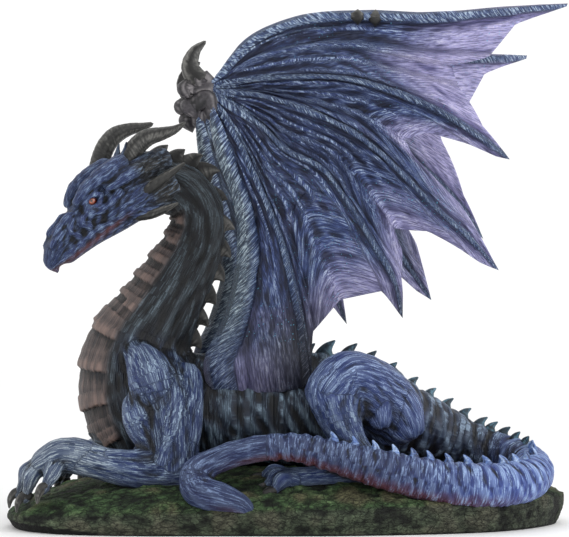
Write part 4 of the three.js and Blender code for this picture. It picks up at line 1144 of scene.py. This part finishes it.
    def carve(self):
        """Strokes run out from the wrist, along the bowed folds between bones, and across the bones."""
        reach, inside, surface = self.reach, self.inside, self.surface
        outwards = unit(np.gradient(self.middle, axis=1))
        sideways = unit(np.gradient(self.middle, axis=0))
        bow = ramp(reach, 0.35, 0.6) * self.draped * self.hump * ramp(self.ratio, 1.2, 2.2)
        self.bow = np.clip(bow, 0, 1)
        slope = 4 * DRAPE_BOW * (2 * inside - 1) * self.length / self.gap
        along_fold = unit(sideways + outwards * slope[..., None]) * np.sign(inside - 0.5 + 1e-6)[..., None]
        way = unit(blend(outwards, along_fold, self.bow))
        way = np.vstack([way.reshape(-1, 3)] * 2)
        broad = surface.strokes(way, self.seed, width=2, length=24)
        narrow = surface.strokes(way, self.seed + 1, width=0, length=12)
        self.on_bone = self.both(np.clip(self.tube * 1.8, 0, 1))
        self.slant = reach * self.length - 0.8 * self.off * self.gap
        wander = 2.2 * np.sin(reach * 47 + self.line) + 1.4 * np.sin(reach * 19)
        marks = np.sin(2 * np.pi * self.slant / 1.7 + wander)
        strokes = (0.6 * broad + 0.45 * narrow) * (1 - 0.6 * self.on_bone)
        self.strokes = strokes + 0.8 * self.on_bone * self.both(marks * ramp(self.tube, 0.1, 0.5))
        lift = 0.24 * self.both(np.minimum(self.half, 1.2) / 1.2)
        surface.points += surface.normals() * (lift * self.strokes)[:, None]

    def layers(self, patches):
        """The dark, flesh and light paint at each point, and how pale the membrane is there."""
        reach, inside = self.both(self.reach), self.both(self.inside)
        far_out = self.both(self.v)
        first = self.both(self.stretch == 0)
        pale = np.where(first, ramp(far_out, 0.6, 0.9), 0.75 * ramp(far_out, 0.8, 0.98))
        pale = pale * (1 - 0.7 * self.on_bone)
        pale = np.clip(pale + 0.2 * ramp(patches, 0.4, 2.2) * ramp(reach, 0.25, 0.6), 0, 1)
        low_rear = ramp(-self.surface.points[:, 2], -120, -78) * ramp(self.surface.points[:, 0], -28, 8)
        leading = ramp(inside, 0.75, 1.0) * self.both(self.stretch == 4)
        leading = leading * ramp(reach, 0.02, 0.1) * ramp(-reach, -0.95, -0.7)
        layers = WING_PAINT["far"] if self.side > 0 else WING_PAINT["deep"]
        shares = {"edge": pale, "bone": 0.8 * self.on_bone, "foot": 0.95 * low_rear, "leading": 0.8 * leading}
        for coat, share in shares.items():
            layers = [blend(a, b, share) for a, b in zip(layers, WING_PAINT[coat])]
        return layers, pale

    def colours(self, patches):
        """The paint, the light paint of the dry brush, how much of it there is, and the wash between; the
        paint and the amount both carry painted shade low on the wing, and the amount carries painted light
        near the wrist.
        """
        (dark, flesh, light), pale = self.layers(patches)
        reach, strokes = self.both(self.reach), self.strokes
        hollow = np.clip(self.both(-0.6 * self.relief + 0.5 * self.valley), -0.8, 1.2)
        hollow = np.clip(hollow + 1.4 * self.surface.hollows(6), -1.0, 1.7)
        ridge = 0.8 * np.maximum(self.lesser, 0) + 0.7 * np.maximum(self.drape, 0) + 0.5 * self.tube
        ridge = self.both(ridge)
        colour = blend(dark, flesh, ramp(0.6 * strokes - 1.0 * hollow + 0.5 * ridge, -1.9, 0.5))
        # Painted shade: the wing darkens lower down.
        shade = 1.0 - 0.35 * ramp(-self.surface.points[:, 2], -110, -66)
        # Painted light: more of the dry brush's light paint near the wrist.
        wrist_glow = 1.0 + 1.7 * ramp(-reach, -0.5, -0.08) - 0.25 * ramp(reach, 0.5, 0.7)
        brush = (0.52 + 0.35 * ridge - 0.45 * hollow + 0.14 * strokes) * wrist_glow
        return colour * shade[:, None], light, np.clip(brush, 0.04, 1) * shade, 0.66 - 0.16 * pale

    def grain(self):
        """Where the fine strokes run: outwards, along the bowed folds, or across bones and ridges."""
        place = self.both(self.stretch * STRETCH_SPACING) + np.repeat([0.0, SIDE_SPACING], self.across.size)
        out, aside = self.both(self.reach * self.length), self.both(self.across * self.gap)
        along_bow, across_bow = self.both(self.inside * self.gap), self.both(self.bowed * self.length)
        fine_out = np.stack([out / STROKE_LENGTH, aside / STROKE_WIDTH, place], 1)
        fine_bow = np.stack([across_bow / STROKE_WIDTH, along_bow / STROKE_LENGTH, place + 90], 1)
        fine_bone = np.stack([self.both(self.slant) / STROKE_WIDTH, aside / STROKE_LENGTH, place + 190], 1)
        on_ridge = (self.tube > 0.2) | ((self.lesser > 0.1) & (self.reach < 0.5))
        grain = np.where((self.both(self.bow) > 0.4)[:, None], fine_bow, fine_out)
        return np.where(self.both(on_ridge)[:, None], fine_bone, grain)


def build_wing(name, shape, material, seed):
    wing = Wing(shape, seed)
    surface = wing.surface
    patches = np.random.default_rng(seed + 5).standard_normal(len(surface.points))
    patches = surface.spread(patches, times=60)
    patches /= patches.std()
    colour, light, brush, wash = wing.colours(patches)
    obj = object_from(name, surface.points, surface.faces, colour, 0.4, material)
    finish(obj, wing.grain(), light, brush, wash)
    glitter = ramp(wing.both(wing.reach), 0.12, 0.4) * (1 - 0.6 * wing.on_bone) * ramp(patches, -0.6, 1.4)
    store(obj.data, "glitter", glitter)
    return obj


def build_wing_trims(name, shape, material, seed):
    """The wrist's knuckles with the thumb claw, and the knobs on the wing's top edge."""
    side = shape["side"]
    trims = Trims()

    def outward(point, *radii):
        return [point[0], point[1] * side, point[2], *radii]

    claw, (high, low) = shape["claw"], shape["knuckles"]
    hook = [outward(p, 5.4 - 0.9 * k - 0.2 * k * k) for k, p in enumerate(claw)]
    trims.add(hook, ACROSS, sides=22, steps=8, ring=0.02, seed=seed)
    for k, (point, radius) in enumerate(((claw[0], 5.6), (high, 5.4), (low, 5.0))):
        x, y, z = point
        lump = [outward([x + 0.5, y, z + 3.2], radius * 0.6), outward([x, y, z], radius)]
        lump.append(outward([x + 1, y, z - 3.4], radius * 0.6))
        trims.add(lump, ACROSS, sides=24, steps=6, coat=KNUCKLE_COAT, seed=seed + k)
    apex = shape["lines"][0][0]
    bridge = [outward(high, 4.6), outward(apex, 4.2, 6.5)]
    trims.add(bridge, ACROSS, sides=24, steps=8, coat=KNUCKLE_COAT, seed=seed + 4)
    arm = shape["lines"][-1]
    down_arm = [0.7 * a + 0.3 * b for a, b in zip(arm[0], arm[1])]
    joint = [outward(low, 4.4), outward(arm[0], 4.8), outward(down_arm, 3.4)]
    trims.add(joint, ACROSS, sides=22, steps=8, coat=KNUCKLE_COAT, seed=seed + 5)
    for k, (x, y, z) in enumerate(shape["knobs"]):
        knob = [outward([x, y, z - 3], 3.0), outward([x, y, z - 0.8], 2.8)]
        trims.add(knob, ACROSS, sides=16, steps=5, seed=seed + 6 + k)
    return trims.made(name, material, 0.42)


# The mound
MOUND_LENGTH, MOUND_DEPTH = 258.0, 132.0
MOUND_RIM_FRONT, MOUND_RIM_BACK, MOUND_CROWN = 7.0, 14.0, 27.0
EDGE_WAVES = [(3, 0.01, 1.9), (5, 0.008, 0.4), (9, 0.006, 2.2)]
OVAL_FRONT, OVAL_BACK = 3.4, 2.2


def mound_rings():
    """Points of the mound in rings, from the underside round the rim to the crown."""
    sides = 460 if FINE else 240
    angle = 2 * np.pi * np.arange(sides) / sides
    power = np.where(np.cos(angle) < 0, OVAL_FRONT, OVAL_BACK)
    oval = (np.abs(np.cos(angle)) ** power + np.abs(np.sin(angle)) ** power) ** (-1 / power)
    oval = oval * (1 + sum(size * np.sin(n * angle + phase) for n, size, phase in EDGE_WAVES)) / 2
    rim = MOUND_RIM_FRONT + (MOUND_RIM_BACK - MOUND_RIM_FRONT) * (0.5 + 0.5 * np.cos(angle))
    top = np.concatenate([np.linspace(1.0, 0.9, 12), np.linspace(0.885, 0.03, 68 if FINE else 36)])
    rings = [np.stack([share * 0.975 * oval, 0 * oval], 1) for share in (0.05, 0.5, 0.96)]
    side_heights = np.linspace(0.0, 0.92, 12)
    rings += [np.stack([(0.975 + 0.03 * math.sin(h * 2.2)) * oval, h * rim], 1) for h in side_heights]
    rise = MOUND_CROWN - rim
    rings += [np.stack([share * oval, rim + rise * (1 - share**2.6) ** 0.75], 1) for share in top]
    grid = np.stack(rings)
    x = grid[..., 0] * MOUND_LENGTH * np.cos(angle)
    y = grid[..., 0] * MOUND_DEPTH * np.sin(angle)
    return np.stack([x, y, grid[..., 1]], -1)


def build_mound(material):
    rings = mound_rings()
    quads, ends = closed_rings(*rings.shape[:2])
    flat = rings.reshape(-1, 3)
    surface = Surface(flat, quads)
    normal = surface.normals()
    rng = np.random.default_rng(77)

    def lumps(wave, count, power=1.0):
        total = np.zeros(len(flat))
        for _ in range(count):
            way = unit(rng.standard_normal(3) * [1, 1, 0.8])
            total += np.sin(flat @ way * 2 * np.pi / (wave * rng.uniform(0.7, 1.4)) + rng.uniform(0, 6.28))
        return np.sign(total) * np.abs(total / count**0.5) ** power

    coarse = lumps(24, 9)
    medium = lumps(8, 12)
    fine = lumps(3.2, 16)
    grit = surface.spread(rng.standard_normal(len(flat)), times=1)
    grit /= grit.std()
    relief = 0.8 * coarse + 0.75 * medium + 0.45 * fine
    height = flat[:, 2]
    flat_foot = ramp(height, 0.2, 2.5)
    surface.points += normal * (flat_foot * (0.42 * relief + 0.16 * grit - 0.5))[:, None]
    surface.points[:, 2] = np.maximum(surface.points[:, 2], 0.0)
    top_share = ramp(normal[:, 2], 0.25, 0.75)
    wash = ramp(relief + 0.5 * grit, -1.6, 1.1)
    moss = blend(paint_of(16, 22, 15), paint_of(56, 78, 48), wash)
    moss = blend(moss, paint_of(100, 118, 82), 0.6 * ramp(relief + 0.8 * grit, 0.9, 2.6))
    soil = blend(paint_of(18, 16, 13), paint_of(78, 71, 54), wash)
    stone = blend(paint_of(16, 17, 16), paint_of(66, 68, 60), wash)
    soil_share = ramp(coarse + 0.4 * medium, 0.1, 1.3)
    colour = blend(moss, soil, 0.75 * soil_share)
    colour = blend(colour, stone, 0.62 * (1 - top_share) + 0.15 * ramp(flat[:, 0], 40, 120))
    in_loop = ramp(-np.hypot((flat[:, 0] - 78) / 34, (flat[:, 1] + 18) / 26), -1.1, -0.7)
    colour = blend(colour, blend(paint_of(34, 18, 14), paint_of(112, 62, 44), wash), 0.7 * in_loop)
    # Painted shadow of the statue: darker over the middle of the mound; the whole mound is brightened, more
    # towards its left end.
    shade = ramp(-np.hypot((flat[:, 0] + 8) / 105, flat[:, 1] / 46), -1.05, -0.55)
    colour *= (1.3 - 0.55 * shade + 0.3 * ramp(-flat[:, 0], 60, 110))[:, None]
    under = normal[:, 2] < -0.5
    colour[under] = paint_of(12, 12, 12)
    points = np.vstack([surface.points, [[0, 0, 0], [0, 0, MOUND_CROWN - 0.5]]])
    colour = np.vstack([colour, paint_of(12, 12, 12), paint_of(40, 44, 26)])
    return object_from("mound", points, [*quads, *ends], colour, 0.62, material)


# Materials: paint and relief are stored on the meshes; nodes add fine strokes, grain, wear and shine
class Nodes:
    """A material's nodes, made and joined in short calls."""

    def __init__(self, name):
        self.material = bpy.data.materials.new(name)
        self.material.use_nodes = True
        self.tree = self.material.node_tree
        self.tree.nodes.clear()

    def add(self, kind, inputs=(), **options):
        node = self.tree.nodes.new("ShaderNode" + kind)
        for key, value in options.items():
            setattr(node, key, value)
        for key, value in dict(inputs).items():
            if isinstance(value, bpy.types.NodeSocket):
                self.tree.links.new(value, node.inputs[key])
            else:
                node.inputs[key].default_value = value
        return node

    def attribute(self, name, output="Fac"):
        return self.add("Attribute", attribute_name=name).outputs[output]

    def maths(self, operation, *values):
        return self.add("Math", dict(enumerate(values)), operation=operation).outputs["Value"]

    def noise(self, vector, scale, detail=3.0, rough=0.6):
        settings = {"Vector": vector, "Scale": scale, "Detail": detail, "Roughness": rough}
        return self.add("TexNoise", settings).outputs["Fac"]

    def spread(self, value, low, high, new_low=0.0, new_high=1.0):
        settings = {"Value": value, "From Min": low, "From Max": high, "To Min": new_low, "To Max": new_high}
        return self.add("MapRange", settings).outputs["Result"]

    def mix(self, factor, a, b, blend_type="MIX"):
        settings = {"Factor": factor, "A": a, "B": b}
        node = self.tree.nodes.new("ShaderNodeMix")
        node.data_type = "RGBA"
        node.blend_type = blend_type
        for key, value in settings.items():
            socket = next(s for s in node.inputs if s.name == key and s.enabled)
            if isinstance(value, bpy.types.NodeSocket):
                self.tree.links.new(value, socket)
            else:
                socket.default_value = value
        return next(s for s in node.outputs if s.enabled)

    def surface(self, colour, rough, normal, coat=0.1, shine=0.4):
        settings = {
            "Base Color": colour,
            "Roughness": rough,
            "Normal": normal,
            "Coat Weight": coat,
            "Coat Roughness": 0.25,
            "Specular IOR Level": shine,
        }
        shader = self.add("BsdfPrincipled", settings)
        self.add("OutputMaterial", {"Surface": shader.outputs["BSDF"]})
        return self.material

    def bump(self, height, strength, distance, normal=None):
        settings = {"Height": height, "Strength": strength, "Distance": distance}
        if normal is not None:
            settings["Normal"] = normal
        return self.add("Bump", settings).outputs["Normal"]


def painted(name, grain, bump, coat=0.1, shine=0.4):
    """Paint with fine grain, for the horns and the eyes."""
    n = Nodes(name)
    place = n.add("TexCoord").outputs["Object"]
    speck = n.noise(place, grain, 6.0, 0.65)
    wear = n.spread(speck, 0.3, 0.7, 0.6, 1.4)
    colour = n.mix(1.0, n.attribute("paint", "Color"), wear, "MULTIPLY")
    rough = n.maths("MULTIPLY_ADD", speck, 0.22, n.attribute("gloss"))
    return n.surface(colour, rough, n.bump(speck, bump, 0.0006), coat, shine)


def mossy(name):
    """Rough earth with fine cracks, pits and a dark wash in them."""
    n = Nodes(name)
    place = n.add("TexCoord").outputs["Object"]
    flat = n.add("VectorMath", {0: place, 1: (1.0, 1.0, 1.9)}, operation="MULTIPLY").outputs["Vector"]
    drift = n.add("TexNoise", {"Vector": flat, "Scale": 260.0, "Detail": 3.0}).outputs["Color"]
    bending = {0: drift, 1: (0.006, 0.006, 0.006), 2: flat}
    bent = n.add("VectorMath", bending, operation="MULTIPLY_ADD").outputs["Vector"]
    cells = n.add("TexVoronoi", {"Vector": bent, "Scale": 230.0}, feature="DISTANCE_TO_EDGE")
    crack = n.spread(cells.outputs["Distance"], 0.0, 0.09)
    speck = n.noise(flat, 900.0, 6.0, 0.7)
    lump = n.noise(flat, 240.0, 4.0, 0.6)
    rugged = n.maths("MULTIPLY_ADD", lump, 0.8, n.maths("MULTIPLY", speck, 0.5))
    height = n.maths("MULTIPLY_ADD", crack, 0.35, rugged)
    tone = n.maths("MULTIPLY", n.spread(speck, 0.35, 0.68, 0.4, 1.55), n.spread(crack, 0.0, 1.0, 0.45, 1.05))
    tone = n.maths("MULTIPLY", tone, n.spread(lump, 0.35, 0.65, 0.6, 1.35))
    colour = n.mix(1.0, n.attribute("paint", "Color"), tone, "MULTIPLY")
    rough = n.maths("MULTIPLY_ADD", speck, 0.3, n.attribute("gloss"))
    return n.surface(colour, rough, n.bump(height, 0.9, 0.0022), 0.0, 0.3)


DARK_WASH = (0.003, 0.004, 0.009, 1.0)
GLITTER_BLUE = (0.12, 0.42, 0.62, 1.0)


def stroked(name, glitter=False):
    """Carved strokes with a dark wash between them and a pale dry brush on top."""
    n = Nodes(name)
    place = n.add("TexCoord").outputs["Object"]
    grain = n.attribute("grain", "Vector")
    stroke = n.noise(grain, 1.0, 2.0, 0.55)
    wide = n.noise(grain, 0.42, 1.0, 0.5)
    height = n.maths("MULTIPLY_ADD", wide, 0.6, n.maths("MULTIPLY", stroke, 0.8))
    speck = n.noise(place, 1400.0, 3.0, 0.6)
    brush = n.attribute("brush")
    cut = n.spread(height, 0.7, 0.59)
    wash = n.maths("MULTIPLY", cut, n.attribute("wash"))
    washed = n.mix(wash, n.attribute("paint", "Color"), DARK_WASH)
    lit = n.maths("MULTIPLY", n.spread(height, 0.71, 0.83), n.spread(speck, 0.35, 0.6, 0.45, 1.15))
    colour = n.mix(n.maths("MULTIPLY", lit, brush), washed, n.attribute("light", "Color"))
    if glitter:
        flakes = n.add("TexVoronoi", {"Vector": place, "Scale": 2600.0}).outputs["Color"]
        pick = n.add("SeparateColor", {"Color": flakes}).outputs["Red"]
        few = n.maths("GREATER_THAN", pick, 0.985)
        shown = n.maths("MULTIPLY", n.maths("MULTIPLY", few, n.attribute("glitter")), 0.7)
        colour = n.mix(shown, colour, GLITTER_BLUE)
    rough = n.maths("MULTIPLY_ADD", speck, 0.2, n.attribute("gloss"))
    normal = n.bump(speck, 0.3, 0.0003, n.bump(height, 0.9, 0.0012))
    return n.surface(colour, rough, normal, 0.0, 0.42)


def build_statue():
    resin = stroked("painted_resin")
    horn = painted("horn_paint", 1100.0, 0.5)
    wing = stroked("wing_paint", glitter=True)
    eye = painted("eye_enamel", 400.0, 0.02, coat=1.0, shine=0.5)
    earth = mossy("mossy_earth")
    body = [
        *build_figure(resin),
        build_head(resin),
        build_trims(horn),
        build_eyes(eye),
        build_mound(earth),
    ]
    for piece in body:
        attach(piece, "root")
        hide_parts("dragon_on_mound")
    for shape, name, seed in ((LEFT_WING, "left_wing", 21), (RIGHT_WING, "right_wing", 41)):
        for piece in (
            build_wing(name + "_membrane", shape, wing, seed),
            build_wing_trims(name + "_bones", shape, horn, seed + 100),
        ):
            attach(piece, "root")
            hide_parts(name)


# The camera, the pale floor and soft studio light
FOCAL_PIXELS = 1680.0
IMAGE_WIDTH = 569.0
CAMERA_AT = (0.0, -0.8, 0.08)
CAMERA_TILT = 2.845


def build_camera():
    data = bpy.data.cameras.new("camera")
    data.sensor_width = 36.0
    data.lens = data.sensor_width * FOCAL_PIXELS / IMAGE_WIDTH
    data.clip_start = 0.01
    camera = bpy.data.objects.new("camera", data)
    camera.location = CAMERA_AT
    camera.rotation_euler = (math.radians(90.0 + CAMERA_TILT), 0.0, 0.0)
    bpy.context.scene.collection.objects.link(camera)
    bpy.context.scene.camera = camera


def area_light(name, at, aim, size, power):
    data = bpy.data.lights.new(name, "AREA")
    data.size = size
    data.energy = power
    light = bpy.data.objects.new(name, data)
    light.location = at
    direction = unit(np.array(aim, float) - np.array(at, float))
    pitch = math.acos(-direction[2])
    turn = math.atan2(direction[0], -direction[1])
    light.rotation_euler = (pitch, 0.0, math.pi - turn + math.pi)
    bpy.context.scene.collection.objects.link(light)


def build_stage():
    world = bpy.data.worlds.new("studio")
    bpy.context.scene.world = world
    world.use_nodes = True
    back = world.node_tree.nodes["Background"]
    back.inputs["Color"].default_value = (1.0, 1.0, 1.0, 1.0)
    back.inputs["Strength"].default_value = 1.06
    mesh = bpy.data.meshes.new("floor")
    reach = 6.0
    below = -0.0002
    corners = [(x * reach, y * reach, below) for x, y in ((-1, -1), (1, -1), (1, 1), (-1, 1))]
    mesh.from_pydata(corners, [], [(0, 1, 2, 3)])
    floor = bpy.data.objects.new("floor", mesh)
    bpy.context.scene.collection.objects.link(floor)
    material = bpy.data.materials.new("pale_floor")
    material.use_nodes = True
    shader = material.node_tree.nodes["Principled BSDF"]
    shader.inputs["Base Color"].default_value = (0.96, 0.96, 0.96, 1.0)
    shader.inputs["Roughness"].default_value = 0.8
    mesh.materials.append(material)
    area_light("key", (-0.35, -0.75, 0.75), (0.0, 0.0, 0.1), 0.5, 9.0)
    area_light("fill", (0.75, -0.45, 0.45), (0.0, 0.0, 0.1), 0.6, 4.0)
    bpy.context.scene.view_settings.view_transform = "Standard"


build_camera()
build_stage()
build_statue()
